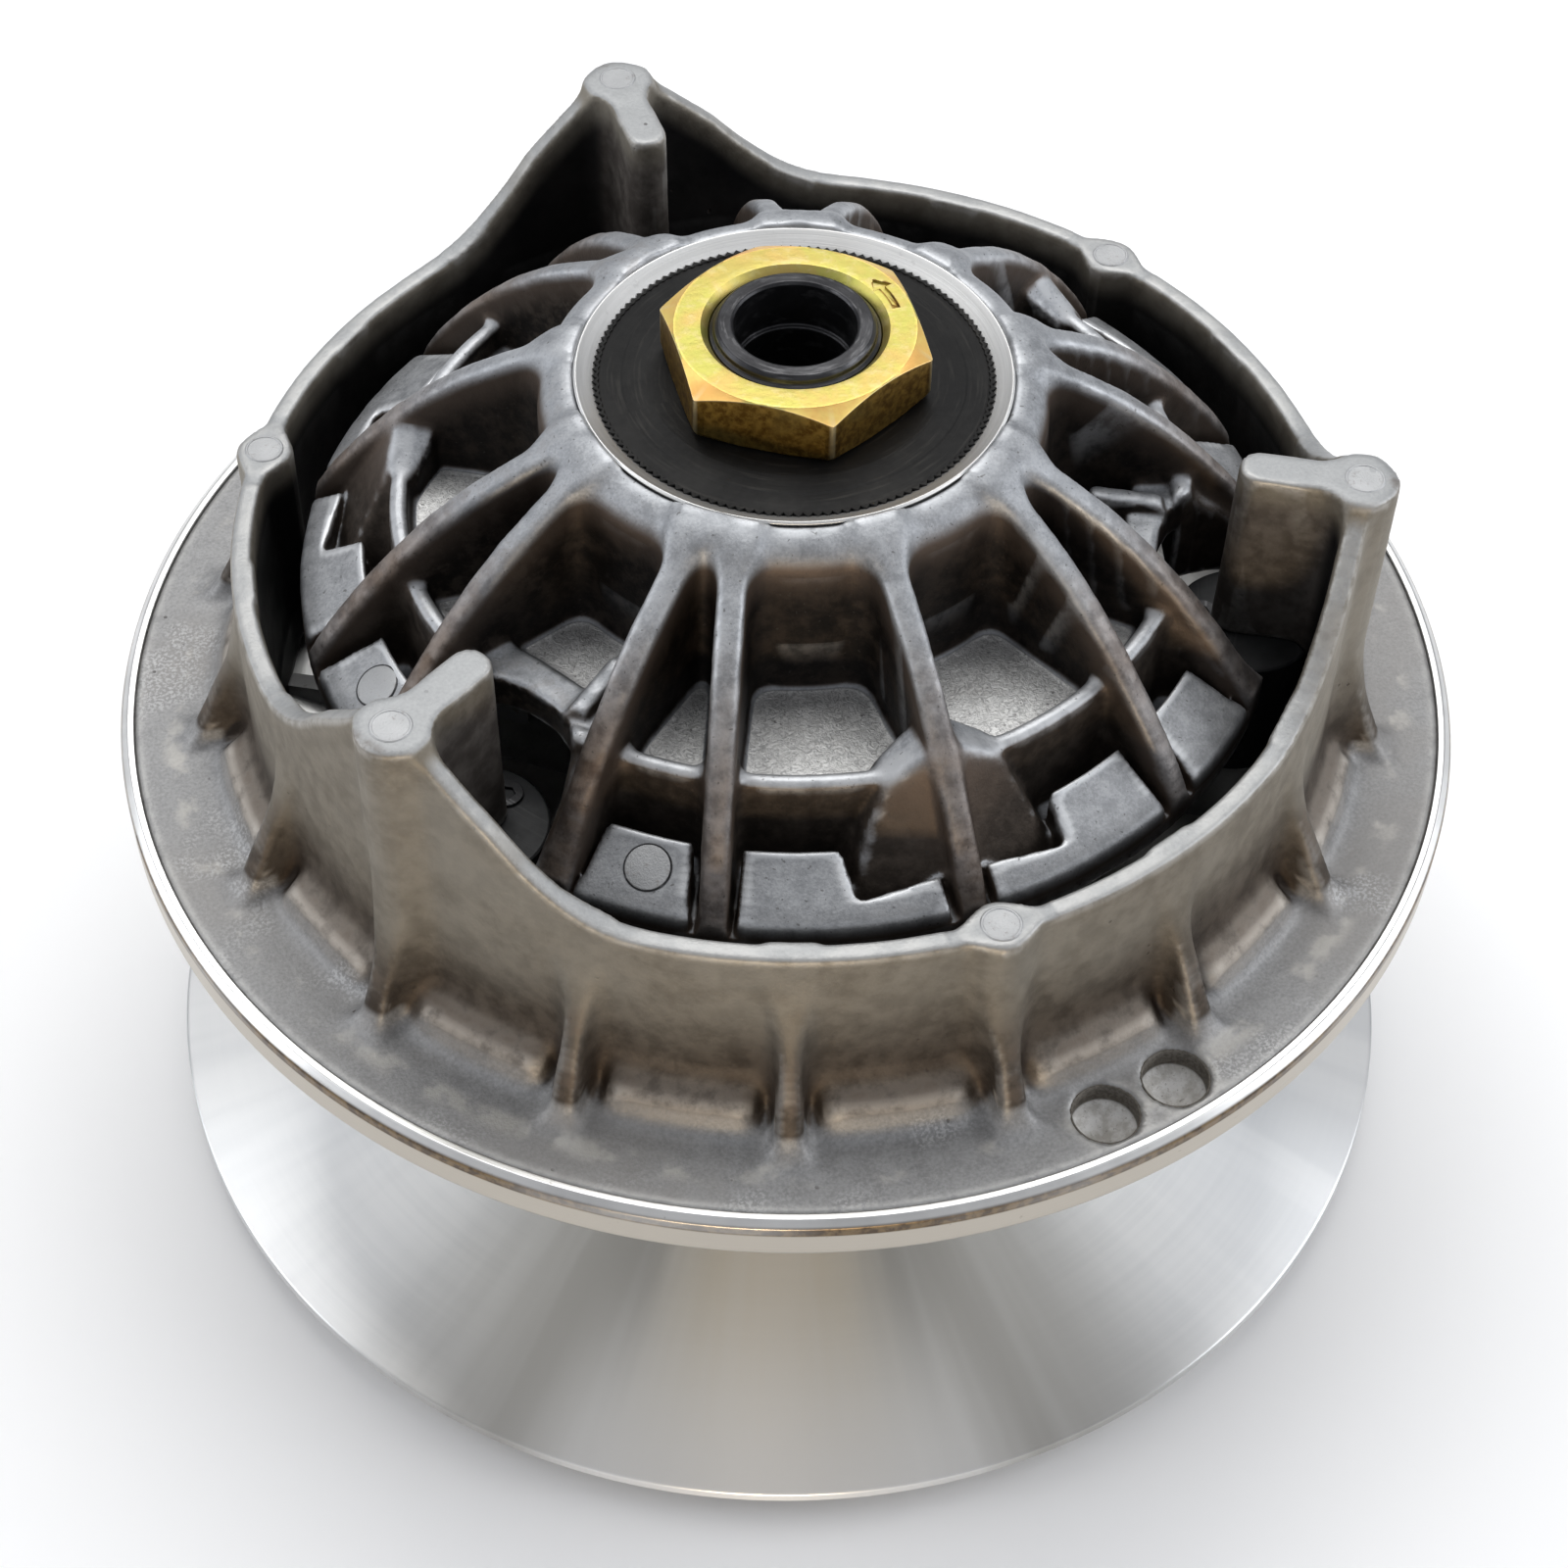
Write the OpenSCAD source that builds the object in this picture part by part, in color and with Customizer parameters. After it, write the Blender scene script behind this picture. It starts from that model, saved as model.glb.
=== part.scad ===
// Drive clutch (primary pulley) of a rubber-belt continuously variable transmission.
// The shaft runs along +Z. The fixed sheave is at the bottom, the sliding sheave above it,
// and the ramp cup closes the top. Units are millimetres.

/* [Sheaves] */
// Outside diameter of both sheaves
sheave_d = 205; // [203:0.5:207]
// Half of the belt groove's included angle, in degrees
groove_half_angle = 13; // [12.5:0.1:13.2]
// Open gap between the sheaves at the rim
rim_gap = 68.7; // [68:0.1:70]
// Thickness of the fixed sheave at its rim
fixed_rim_t = 2.0; // [1.8:0.1:2.2]
// Height of the sliding sheave's turned rim band
slide_rim_h = 6.8; // [6.5:0.1:7]
// Number of ribs on the back of the fixed sheave
back_ribs = 12; // [8:1:18]

/* [Sliding sheave wall] */
// Outside radius of the wall
wall_ro = 82.2; // [82:0.1:82.4]
// Inside radius of the wall
wall_ri = 78.8; // [78.6:0.1:79]
// Height of the level part of the wall above the base
wall_z = 114.8; // [114:0.1:115.5]
// Height of the tower tops above the base
tower_z = 137.5; // [136.5:0.1:138.5]
// Number of gussets round the outside of the wall
gussets = 18; // [18]
// Thickness of a gusset
gusset_t = 3.4; // [3:0.1:4]
// Half the thickness of a tower's inward fin
fin_half = 3.2; // [2.8:0.1:3.4]
// Radius of the two balancing holes
balance_r = 4.75; // [4:0.05:5]

/* [Ramp cup] */
// Outside radius of the cup
cup_r = 72.6; // [72:0.1:73]
// Height of the cup's turned hub ring above the base
cup_top_z = 144.4; // [144.2:0.1:144.6]
// Thickness of the cup's ribs
rib_t = 4.3; // [3.8:0.1:4.8]
// Radius of the pressed-in steel hub
hub_insert_r = 28.4; // [28.2:0.1:28.5]
// Half the width of the channels that the guide shoes run in
channel_half = 11.0; // [10.9:0.1:11.2]
// Radius of a guide shoe
shoe_r = 10.5; // [10.2:0.1:10.6]

/* [Shaft and nut] */
// Radius of the shaft where the sliding sheave runs
shaft_r = 15; // [15]
// Radius of the shaft's threaded end
thread_r = 12; // [12]
// Radius of the bore for the retaining bolt
bolt_bore_r = 7.9; // [7:0.1:8.2]
// Nut size across its flats
nut_af = 34; // [33:0.5:36]
// Height of the nut
nut_h = 8.6; // [8:0.1:9]

/* [Weights and ramps] */
// Axial travel of the sliding sheave
travel = 28; // [24:1:28]
// Outward travel of a flyweight over the full axial travel
weight_travel = 17; // [17]
// Radius of a flyweight's roller
roller_r = 5.8; // [5.5:0.1:5.8]

/* [Hidden] */
$fn = 96;
sheave_r = sheave_d / 2;
slope = tan(groove_half_angle);
base = 6;                                   // rim's lower edge above the hub's face
fixed_rim_top = base + fixed_rim_t;
slide_rim_z = fixed_rim_top + rim_gap;      // lower edge of the sliding sheave's rim
flange_top = slide_rim_z + slide_rim_h;
tower_a = [90, 210, 330];                   // towers, fins and guide shoes
mid_a = [30, 150, 270];                     // small bosses, single ribs and flyweights
function zf(r) = fixed_rim_top + (sheave_r - r) * slope;    // face of the fixed sheave
function zl(r) = slide_rim_z - (sheave_r - r) * slope;      // face of the sliding sheave

// ---------- shared shapes ----------
// A flat plate of thickness t that stands on the radial line at angle a, with its outline in (radius, height).
module radial_plate(pts, t, a = 0) {
    rotate([0, 0, a]) rotate([90, 0, 0]) translate([0, 0, -t / 2]) linear_extrude(t) polygon(pts);
}
// A solid between a lower and an upper quadrilateral, each listed anticlockwise as [x, y, z].
module frustum4(lo, hi) {
    polyhedron(points = concat(lo, hi),
        faces = [[0, 1, 2, 3], [7, 6, 5, 4], [0, 4, 5, 1], [1, 5, 6, 2], [2, 6, 7, 3], [3, 7, 4, 0]]);
}
module ring(ri, ro, z0, z1) {
    translate([0, 0, z0]) difference() {
        cylinder(r = ro, h = z1 - z0);
        translate([0, 0, -1]) cylinder(r = ri, h = z1 - z0 + 2);
    }
}

// ---------- fixed sheave ----------
module fixed_flange() {
    color([0.78, 0.79, 0.80]) union() {
        rotate_extrude() polygon([
            [18, 0], [29, 0], [30, 1], [32.5, 15.8], [40, zf(40) - 6], [90, base - 0.4], [92, base], [sheave_r - 0.4, base],
            [sheave_r, base + 0.4], [sheave_r, fixed_rim_top - 0.4], [sheave_r - 0.4, fixed_rim_top + 0.09],
            [26, zf(26)], [25.2, 25], [shaft_r + 0.02, 25], [shaft_r + 0.02, 24], [18, 24]]);
        for (i = [0 : back_ribs - 1])
            radial_plate([[29.2, 1.6], [60, 3.2], [91.5, base - 0.05], [91.5, 7.6], [40, 18], [29.2, 18]], 4, i * 360 / back_ribs + 15);
    }
}

// ---------- shaft, nut and bearing ----------
module shaft() {
    color([0.30, 0.31, 0.33]) difference() {
        rotate_extrude() polygon([[0, 0], [18, 0], [18, 24], [shaft_r, 24], [shaft_r, 130.4], [shaft_r - 0.6, 131],
            [thread_r, 131], [thread_r, 150], [thread_r - 0.7, 150.8], [thread_r - 0.7, 152.2], [thread_r - 1.1, 152.5], [0, 152.5]]);
        translate([0, 0, -1]) cylinder(r = bolt_bore_r, h = 160);
        translate([0, 0, 145]) cylinder(r = 8.6, h = 10);
        translate([0, 0, 0]) rotate_extrude() polygon([[0, -0.5], [12.5, -0.5], [12.5, 0], [8.5, 40], [8.5, 50], [bolt_bore_r, 51], [0, 51]]);
    }
}
module lock_nut() {
    rc = nut_af / 2 / cos(30);
    z0 = 143.5;
    color([0.83, 0.68, 0.25]) difference() {
        intersection() {
            translate([0, 0, z0]) rotate([0, 0, 25.1]) cylinder(r = rc, h = nut_h, $fn = 6);
            rotate_extrude() polygon([[0, z0], [rc - 0.8, z0], [rc + 0.1, z0 + 0.5], [rc + 0.1, z0 + nut_h - 1.65],
                [nut_af / 2 - 0.5, z0 + nut_h], [0, z0 + nut_h]]);
        }
        translate([0, 0, z0 - 1]) cylinder(r = thread_r, h = nut_h + 2);
        translate([0, 0, z0 + nut_h - 1]) cylinder(r1 = thread_r, r2 = thread_r + 0.9, h = 1.01);
    }
}
module thrust_washer() { color([0.55, 0.56, 0.58]) ring(shaft_r + 0.05, 24.5, 25, 26.2); }
module bearing_inner_ring() { color([0.62, 0.63, 0.65]) ring(shaft_r + 0.05, 17, 26.2, 57); }
module needle_rollers() {
    color([0.7, 0.71, 0.73]) for (i = [0 : 19]) rotate([0, 0, i * 18]) translate([18.55, 0, 30]) cylinder(r = 1.5, h = 24, $fn = 32);
}
module idler_sleeve() {
    color([0.66, 0.67, 0.69]) rotate_extrude() polygon([[20.1, 26.5], [24.5, 26.5], [25, 27], [25, 56], [24.5, 56.5], [20.1, 56.5]]);
}
module spring_seat_lower() { color([0.55, 0.56, 0.58]) ring(shaft_r + 0.05, 24.4, 57, 60); }
module spring_seat_upper() { color([0.55, 0.56, 0.58]) ring(15.6, 25.3, 108.5, 110); }

// ---------- return spring ----------
spring_r = 20;
wire_r = 2.1;
spring_z0 = 60;
spring_z1 = 108.5;
turns = 4.5;
ring_n = 24;    // rings in one turn
side_n = 10;    // sides of the wire
function spring_u(t) = t < 0.75 ? t * 2 * wire_r : t > turns - 0.75 ? (spring_z1 - spring_z0 - 2 * wire_r) - (turns - t) * 2 * wire_r
    : 0.75 * 2 * wire_r + (t - 0.75) / (turns - 1.5) * (spring_z1 - spring_z0 - 2 * wire_r - 1.5 * 2 * wire_r);
module return_spring() {
    n = turns * ring_n;
    pts = [for (i = [0 : n]) let (t = i / ring_n, a = 360 * t, z = spring_z0 + wire_r + spring_u(t))
        for (k = [0 : side_n - 1]) let (b = 360 * k / side_n, r = spring_r + wire_r * cos(b))
            [r * cos(a), r * sin(a), z + wire_r * sin(b)]];
    side = [for (i = [0 : n - 1]) for (k = [0 : side_n - 1]) let (m = (k + 1) % side_n)
        [i * side_n + k, i * side_n + m, (i + 1) * side_n + m, (i + 1) * side_n + k]];
    color([0.25, 0.26, 0.30]) polyhedron(points = pts,
        faces = concat([[for (k = [side_n - 1 : -1 : 0]) k]], side, [[for (k = [0 : side_n - 1]) n * side_n + k]]));
}
module hub_bushing() { color([0.45, 0.36, 0.22]) ring(shaft_r + 0.05, 17.3, 112.2, 129.3); }

// ---------- sliding sheave ----------
// The wall's top edge beside a tower: [distance along the wall, height].
tower_side = [[-34, wall_z - 0.5], [-31, wall_z + 0.05], [-26.5, wall_z + 1.0], [-22, wall_z + 3.6], [-17.5, wall_z + 7.8], [-9, wall_z + 17.3],
    [-6, wall_z + 20.6], [-3.6, tower_z], [3.6, tower_z], [6, wall_z + 20.6], [9, wall_z + 17.3], [17.5, wall_z + 7.8], [22, wall_z + 3.6],
    [26.5, wall_z + 1.0], [31, wall_z + 0.05], [34, wall_z - 0.5]];
module wall() {
    ring(wall_ri, wall_ro, 76, wall_z);
    for (a = tower_a) intersection() {
        ring(wall_ri, wall_ro, 90, tower_z + 5);
        rotate([0, 0, a - 90]) translate([0, 90, 0]) rotate([90, 0, 0]) linear_extrude(25)
            polygon(concat([[34, 80], [-34, 80]], tower_side));
    }
}
module gusset(a, tall) {
    zt = tall ? 107 : 103;
    radial_plate([[80, 82], [92.4, 82], [92.4, 84], [90.6, 85.6], [83.6, zt - 3], [80.2, zt]], gusset_t, a);
}
module balance_hole(a) {
    rotate([0, 0, a]) translate([94.3, 0, flange_top - 3.2]) {
        cylinder(r = balance_r, h = 10);
        translate([0, 0, -2.2]) cylinder(r1 = 0.2, r2 = balance_r, h = 2.2);
    }
}
module sliding_flange() {
    color([0.66, 0.66, 0.65]) difference() {
        union() {
            rotate_extrude() polygon([
                [25.8, 60.4], [27.2, zl(27.2)], [sheave_r, slide_rim_z], [sheave_r, flange_top - 1.3], [sheave_r - 1.2, flange_top],
                [100.6, flange_top], [100.4, flange_top - 0.3], [wall_ri, flange_top - 0.3], [wall_ri, zl(wall_ri) + 5], [33, zl(33) + 5],
                [30.5, 68], [30.5, 111], [29.5, 112], [19.5, 112], [19.5, 129.5], [17.3, 129.5], [17.3, 110], [25.8, 110]]);
            wall();
            // gussets and the raised pads between them
            for (i = [0 : gussets - 1]) {
                gusset(i * 20 + 10, i % 6 == 4);
                rotate([0, 0, i * 20 + 10 + 4.2]) rotate_extrude(angle = 11.6) polygon([[81, 82], [87.8, 82], [86.6, 86.2], [84.6, 87.2], [81, 88.4]]);
            }
            // towers: boss, fin, and the pedestal of the guide shoe
            for (a = tower_a) rotate([0, 0, a]) {
                translate([80.75, 0, 80]) cylinder(r = 5.2, h = tower_z - 80, $fn = 48);
                translate([66.2, -fin_half, 107]) cube([14, 2 * fin_half, tower_z - 107]);
                translate([66.2, 0, 107]) cylinder(r = fin_half, h = tower_z - 107, $fn = 48);
                translate([68, 0, 70.5]) cylinder(r = shoe_r, h = 14.5);
            }
            // small bosses and the flyweights' rails
            for (a = mid_a) rotate([0, 0, a]) {
                translate([80.26, 0, 80]) cylinder(r = 4.3, h = wall_z - 80, $fn = 48);
                for (s = [-1, 1]) translate([30, s * 12.5 - 1.5, 0])
                    rotate([90, 0, 0]) translate([0, 0, -3]) linear_extrude(3)
                        polygon([[2, zl(32) + 3], [47, zl(77) + 3], [47, 78], [2, 78]]);
            }
        }
        for (a = tower_a) rotate([0, 0, a]) translate([61.5, 0, 76]) cylinder(r = 2.2, h = 12, $fn = 32);
        for (a = [277.6, 284.8]) balance_hole(a);
    }
}
module guide_shoes() {
    color([0.35, 0.36, 0.37]) for (a = tower_a) rotate([0, 0, a]) difference() {
        translate([68, 0, 85]) cylinder(r = shoe_r, h = 21.8);
        translate([61.5, 0, 84]) cylinder(r = 2.4, h = 30, $fn = 32);
        translate([80.75, 0, 84]) cylinder(r = 5.6, h = 30, $fn = 48);
    }
}
module shoe_screws() {
    color([0.2, 0.2, 0.22]) for (a = tower_a) rotate([0, 0, a]) translate([61.5, 0, 76.5]) difference() {
        cylinder(r = 2.2, h = 26, $fn = 32);
        translate([0, 0, 23.5]) cylinder(r = 1.15, h = 3, $fn = 6);
    }
}

// ---------- ramp cup ----------
// Top edge of the ribs against radius.
rib_r = [34, 37, 42, 48, 54, 60, 65, 70, 72.6, 80];
rib_z = [142.6, 142.0, 139.6, 136.2, 131.6, 125.7, 120.0, 113.5, 109.2, 96];
function rib_top(r) = lookup(r, [for (i = [0 : len(rib_r) - 1]) [rib_r[i], rib_z[i]]]);
// A rib that runs straight from radius r0 at angle a0 to radius r1 at angle a1.
module rib(r0, a0, r1, a1) {
    x0 = r0 * cos(a0); y0 = r0 * sin(a0);
    x1 = r1 * cos(a1); y1 = r1 * sin(a1);
    l = norm([x1 - x0, y1 - y0]);
    n = 14;
    top = [for (i = [n : -1 : 0]) let (s = l * i / n, f = s / l) [s, rib_top(norm([x0 + f * (x1 - x0), y0 + f * (y1 - y0)]))]];
    step = l * (58 - r0) / (r1 - r0);
    translate([x0, y0, 0]) rotate([0, 0, atan2(y1 - y0, x1 - x0)]) rotate([90, 0, 0]) translate([0, 0, -rib_t / 2]) linear_extrude(rib_t)
        polygon(concat([[0, 116.5], [step, 116.5], [step, 104.8], [l, 104.8]], top));
}
module channel_outline(w) {
    translate([64, 0]) circle(r = w);
    translate([64, -w]) square([30, 2 * w]);
}
module channel_wall() {
    intersection() {
        translate([0, 0, 104]) linear_extrude(30) channel_outline(channel_half + 3.3);
        rotate([90, 0, 0]) translate([0, 0, -20]) linear_extrude(40)
            polygon([[46, 104], [72.4, 104], [72.4, 109.3], [66, 116], [60, 120.5], [55, 123], [50, 124], [46, 124]]);
    }
}
module weight_box() {
    frustum4([[47.5, -6, 116], [57.2, -9.2, 116], [57.2, 9.2, 116], [47.5, 6, 116]],
             [[49, -5, 124], [57.2, -8, 124], [57.2, 8, 124], [49, 5, 124]]);
    frustum4([[56.6, -16.2, 104.5], [68.6, -14.6, 104.5], [68.6, 14.6, 104.5], [56.6, 16.2, 104.5]],
             [[56.6, -8, 124], [58.2, -8, 124], [58.2, 8, 124], [56.6, 8, 124]]);
}
module ramp_cup() {
    color([0.62, 0.63, 0.64]) difference() {
        union() {
            rotate_extrude() polygon([
                [20.5, 115], [56.5, 115], [56.5, 104], [cup_r, 104], [cup_r, 108.6], [71.8, 109.2], [63, 114], [62.4, 113.8], [62.2, 106.5],
                [59.5, 106.5], [59.5, 123.5], [59, 124], [57, 124], [56.5, 123.5], [56.5, 118], [39, 118], [38.6, 134], [37.8, 138],
                [36, 141.3], [33.6, 143.1], [31.5, 143.6], [31.2, 143.4], [30.95, cup_top_z], [hub_insert_r, cup_top_z - 1.5], [hub_insert_r, 131], [20.5, 131]]);
            for (a = mid_a) rotate([0, 0, a]) {
                rib(34, 0, 72.5, 0);
                for (s = [-1, 1]) {
                    rib(34, s * 33.6, 72.5, s * 28.4);
                    rib(34, s * 43.4, 72.5, s * 46.6);
                }
                weight_box();
            }
            for (a = tower_a) rotate([0, 0, a]) {
                channel_wall();
                rotate([0, 0, 6]) radial_plate([[37, 116.5], [52, 116.5], [52, 122.4], [48, 123], [37, 124.5]], 3, 0);
            }
        }
        for (a = tower_a) rotate([0, 0, a]) translate([0, 0, 100]) linear_extrude(60) channel_outline(channel_half);
        for (a = mid_a) rotate([0, 0, a]) {
            translate([51, -7.1, 103]) cube([9.2, 14.2, 9.3]);
            translate([51, -12.6, 103]) cube([7, 25.2, 3.2]);
            translate([58, 0, 108.5]) rotate([90, 0, 0]) cylinder(r = 1.5, h = 22.4, center = true, $fn = 32);
        }
    }
}
module cup_insert() {
    color([0.28, 0.29, 0.30]) rotate_extrude() polygon([[thread_r, 131], [hub_insert_r, 131], [hub_insert_r, 142.9], [hub_insert_r - 1, 142.8],
        [21, 143.5], [thread_r, 143.5]]);
}
// The ramp face runs from (54.1, 110.1) down and out to (71.2, 82).
module ramp_plates() {
    color([0.42, 0.43, 0.45]) for (a = mid_a) rotate([0, 0, a]) difference() {
        rotate([90, 0, 0]) translate([0, 0, -6.8]) linear_extrude(13.6)
            polygon([[52.98, 112], [71.16, 82], [72.4, 82], [72.4, 103.8], [60, 103.8], [60, 112]]);
        translate([58, 0, 108.5]) rotate([90, 0, 0]) cylinder(r = 1.5, h = 30, center = true, $fn = 32);
    }
}
module ramp_pins() {
    color([0.5, 0.5, 0.52]) for (a = mid_a) rotate([0, 0, a]) translate([58, 0, 108.5]) rotate([90, 0, 0]) cylinder(r = 1.5, h = 22, center = true, $fn = 32);
}

// ---------- flyweights ----------
module flyweight(a) {
    color([0.40, 0.41, 0.42]) rotate([0, 0, a]) difference() {
        union() {
            translate([38, -15, 78.2]) cube([20, 30, 17.8]);
            translate([38, -10.6, 76.2]) cube([20, 21.2, 3]);
            for (s = [-1, 1]) translate([0, s * 10.1, 0]) rotate([90, 0, 0]) translate([0, 0, -1.9]) linear_extrude(3.8) union() {
                translate([49, 107]) circle(r = 4.6);
                polygon([[41, 95], [57, 95], [53.6, 107], [44.4, 107]]);
            }
        }
        translate([49, 0, 107]) rotate([90, 0, 0]) cylinder(r = 3, h = 40, center = true, $fn = 48);
    }
}
module roller(a) {
    color([0.62, 0.60, 0.52]) rotate([0, 0, a]) translate([49, 0, 107]) rotate([90, 0, 0]) difference() {
        cylinder(r = roller_r, h = 14, center = true);
        cylinder(r = 3.06, h = 20, center = true, $fn = 48);
    }
}
module roller_pin(a) {
    color([0.7, 0.7, 0.72]) rotate([0, 0, a]) translate([49, 0, 107]) rotate([90, 0, 0]) cylinder(r = 3, h = 24, center = true, $fn = 48);
}

fixed_flange();
shaft();
thrust_washer();
bearing_inner_ring();
needle_rollers();
idler_sleeve();
spring_seat_lower();
return_spring();
spring_seat_upper();
hub_bushing();
sliding_flange();
guide_shoes();
shoe_screws();
ramp_cup();
cup_insert();
ramp_plates();
ramp_pins();
lock_nut();
flyweight(mid_a[0]);  // flyweight_1
flyweight(mid_a[1]);  // flyweight_2
flyweight(mid_a[2]);  // flyweight_3
roller(mid_a[0]);  // roller_1
roller(mid_a[1]);  // roller_2
roller(mid_a[2]);  // roller_3
roller_pin(mid_a[0]);  // roller_pin_1
roller_pin(mid_a[1]);  // roller_pin_2
roller_pin(mid_a[2]);  // roller_pin_3
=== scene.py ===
import bpy, bmesh, math
import numpy as np
from mathutils import Vector, Matrix


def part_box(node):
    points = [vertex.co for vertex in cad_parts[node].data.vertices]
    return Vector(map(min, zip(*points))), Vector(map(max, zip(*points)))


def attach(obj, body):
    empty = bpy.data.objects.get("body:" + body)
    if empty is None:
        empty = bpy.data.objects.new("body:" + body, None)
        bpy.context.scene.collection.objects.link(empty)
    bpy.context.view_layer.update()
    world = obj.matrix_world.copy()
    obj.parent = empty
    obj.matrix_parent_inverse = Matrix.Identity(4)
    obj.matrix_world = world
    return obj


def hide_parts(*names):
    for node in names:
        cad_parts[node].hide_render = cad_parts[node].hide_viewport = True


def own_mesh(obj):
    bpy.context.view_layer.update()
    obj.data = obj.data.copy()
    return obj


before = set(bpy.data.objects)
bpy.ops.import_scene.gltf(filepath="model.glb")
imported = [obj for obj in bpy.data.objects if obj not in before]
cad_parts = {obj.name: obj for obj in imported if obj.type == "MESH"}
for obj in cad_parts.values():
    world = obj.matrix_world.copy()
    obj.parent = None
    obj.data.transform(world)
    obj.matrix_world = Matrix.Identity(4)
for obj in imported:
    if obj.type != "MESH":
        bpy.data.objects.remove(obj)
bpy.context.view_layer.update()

MM = 0.001
TOWER = (90.0, 210.0, 330.0)
MID = (30.0, 150.0, 270.0)
SL = math.tan(math.radians(13.0))
top_of = lambda node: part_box(node)[1][2] / MM
low_of = lambda node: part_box(node)[0][2] / MM
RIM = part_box("fixed_flange")[1][1] / MM            # sheave radius, 102.5
RIM = 102.5 if abs(RIM - 102.5) < 0.3 else RIM
ZS = low_of("sliding_flange") - 60.4 + 83.5         # sliding sheave's rim top, 83.5 + any shift
ZTIP = top_of("shaft")
ZHUB = top_of("ramp_cup")


# ------------------------------------------------------------------ mesh helpers
def put(name, verts, faces, mat=None, body=None, node=None, attrs=None, smooth=True):
    """verts in mm (N,3); faces an (M,4) array or a list of index lists."""
    me = bpy.data.meshes.new(name)
    v = np.asarray(verts, dtype=np.float64) * MM
    if isinstance(faces, np.ndarray):
        n, m = faces.shape
        me.vertices.add(len(v)); me.vertices.foreach_set("co", v.astype(np.float32).ravel())
        me.loops.add(n * m); me.loops.foreach_set("vertex_index", faces.astype(np.int32).ravel())
        me.polygons.add(n); me.polygons.foreach_set("loop_start", np.arange(0, n * m, m, dtype=np.int32))
        me.update(calc_edges=True)
        me.validate()
    else:
        me.from_pydata([tuple(p) for p in v], [], [tuple(int(i) for i in f) for f in faces])
        me.update()
    if smooth:
        me.polygons.foreach_set("use_smooth", np.ones(len(me.polygons), dtype=bool))
    for k, a in (attrs or {}).items():
        at = me.attributes.new(k, 'FLOAT', 'POINT')
        at.data.foreach_set("value", np.asarray(a, dtype=np.float32))
    ob = bpy.data.objects.new(name, me)
    bpy.context.scene.collection.objects.link(ob)
    if mat:
        me.materials.append(mat)
    if body:
        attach(ob, body)
    if node:
        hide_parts(*([node] if isinstance(node, str) else node))
    return ob


def rounded(pts, rad, seg=4):
    """Rounds every corner of a closed (r, z) outline and adds a holding point each side of it."""
    out, n = [], len(pts)
    for i in range(n):
        p = np.array(pts[i][:2], float); a = np.array(pts[i - 1][:2], float); b = np.array(pts[(i + 1) % n][:2], float)
        rr = pts[i][2] if len(pts[i]) > 2 else rad
        la, lb = np.linalg.norm(a - p), np.linalg.norm(b - p)
        da, db = (a - p) / la, (b - p) / lb
        ang = math.acos(max(-1, min(1, float(da @ db))))
        if rr <= 0 or ang > math.radians(178):
            out.append(p); continue
        t = min(rr / math.tan(ang / 2), 0.42 * la, 0.42 * lb)
        h = min(0.25, 0.04 * la), min(0.25, 0.04 * lb)
        out.append(p + da * (t + h[0]))
        for s in np.linspace(0, 1, seg + 1):
            out.append((1 - s) ** 2 * (p + da * t) + 2 * s * (1 - s) * p + s * s * (p + db * t))
        out.append(p + db * (t + h[1]))
    return np.array(out)


def lathe_data(pts, n=192, rad=0.3, seg=4, a0=0.0):
    """A ring of revolution from a closed outline given anticlockwise in (r, z)."""
    pr = rounded(pts, rad, seg)
    m = len(pr)
    t = np.radians(a0) + np.arange(n) * 2 * math.pi / n
    v = np.stack([np.outer(np.cos(t), pr[:, 0]), np.outer(np.sin(t), pr[:, 0]), np.tile(pr[:, 1], (n, 1))], -1).reshape(-1, 3)
    i, j = np.meshgrid(np.arange(n), np.arange(m), indexing="ij")
    i2, j2 = (i + 1) % n, (j + 1) % m
    area = 0.5 * np.sum(pr[:, 0] * np.roll(pr[:, 1], -1) - np.roll(pr[:, 0], -1) * pr[:, 1])
    f = np.stack([i * m + j, i2 * m + j, i2 * m + j2, i * m + j2], -1).reshape(-1, 4)
    if area < 0:
        f = f[:, ::-1]
    return v, f


def lathe(name, pts, mat, body, node=None, n=192, rad=0.3, seg=4, at=(0, 0)):
    v, f = lathe_data(pts, n, rad, seg)
    v = v + np.array([at[0], at[1], 0.0])
    return put(name, v, f, mat, body, node)


def joined(parts):
    vs, fs, k = [], [], 0
    for v, f in parts:
        vs.append(v); fs.append(f + k); k += len(v)
    return np.concatenate(vs), np.concatenate(fs)


def turned(v, deg, origin=(0, 0)):
    c, s = math.cos(math.radians(deg)), math.sin(math.radians(deg))
    x, y = v[:, 0] - origin[0], v[:, 1] - origin[1]
    return np.stack([origin[0] + c * x - s * y, origin[1] + s * x + c * y, v[:, 2]], -1)


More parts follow.
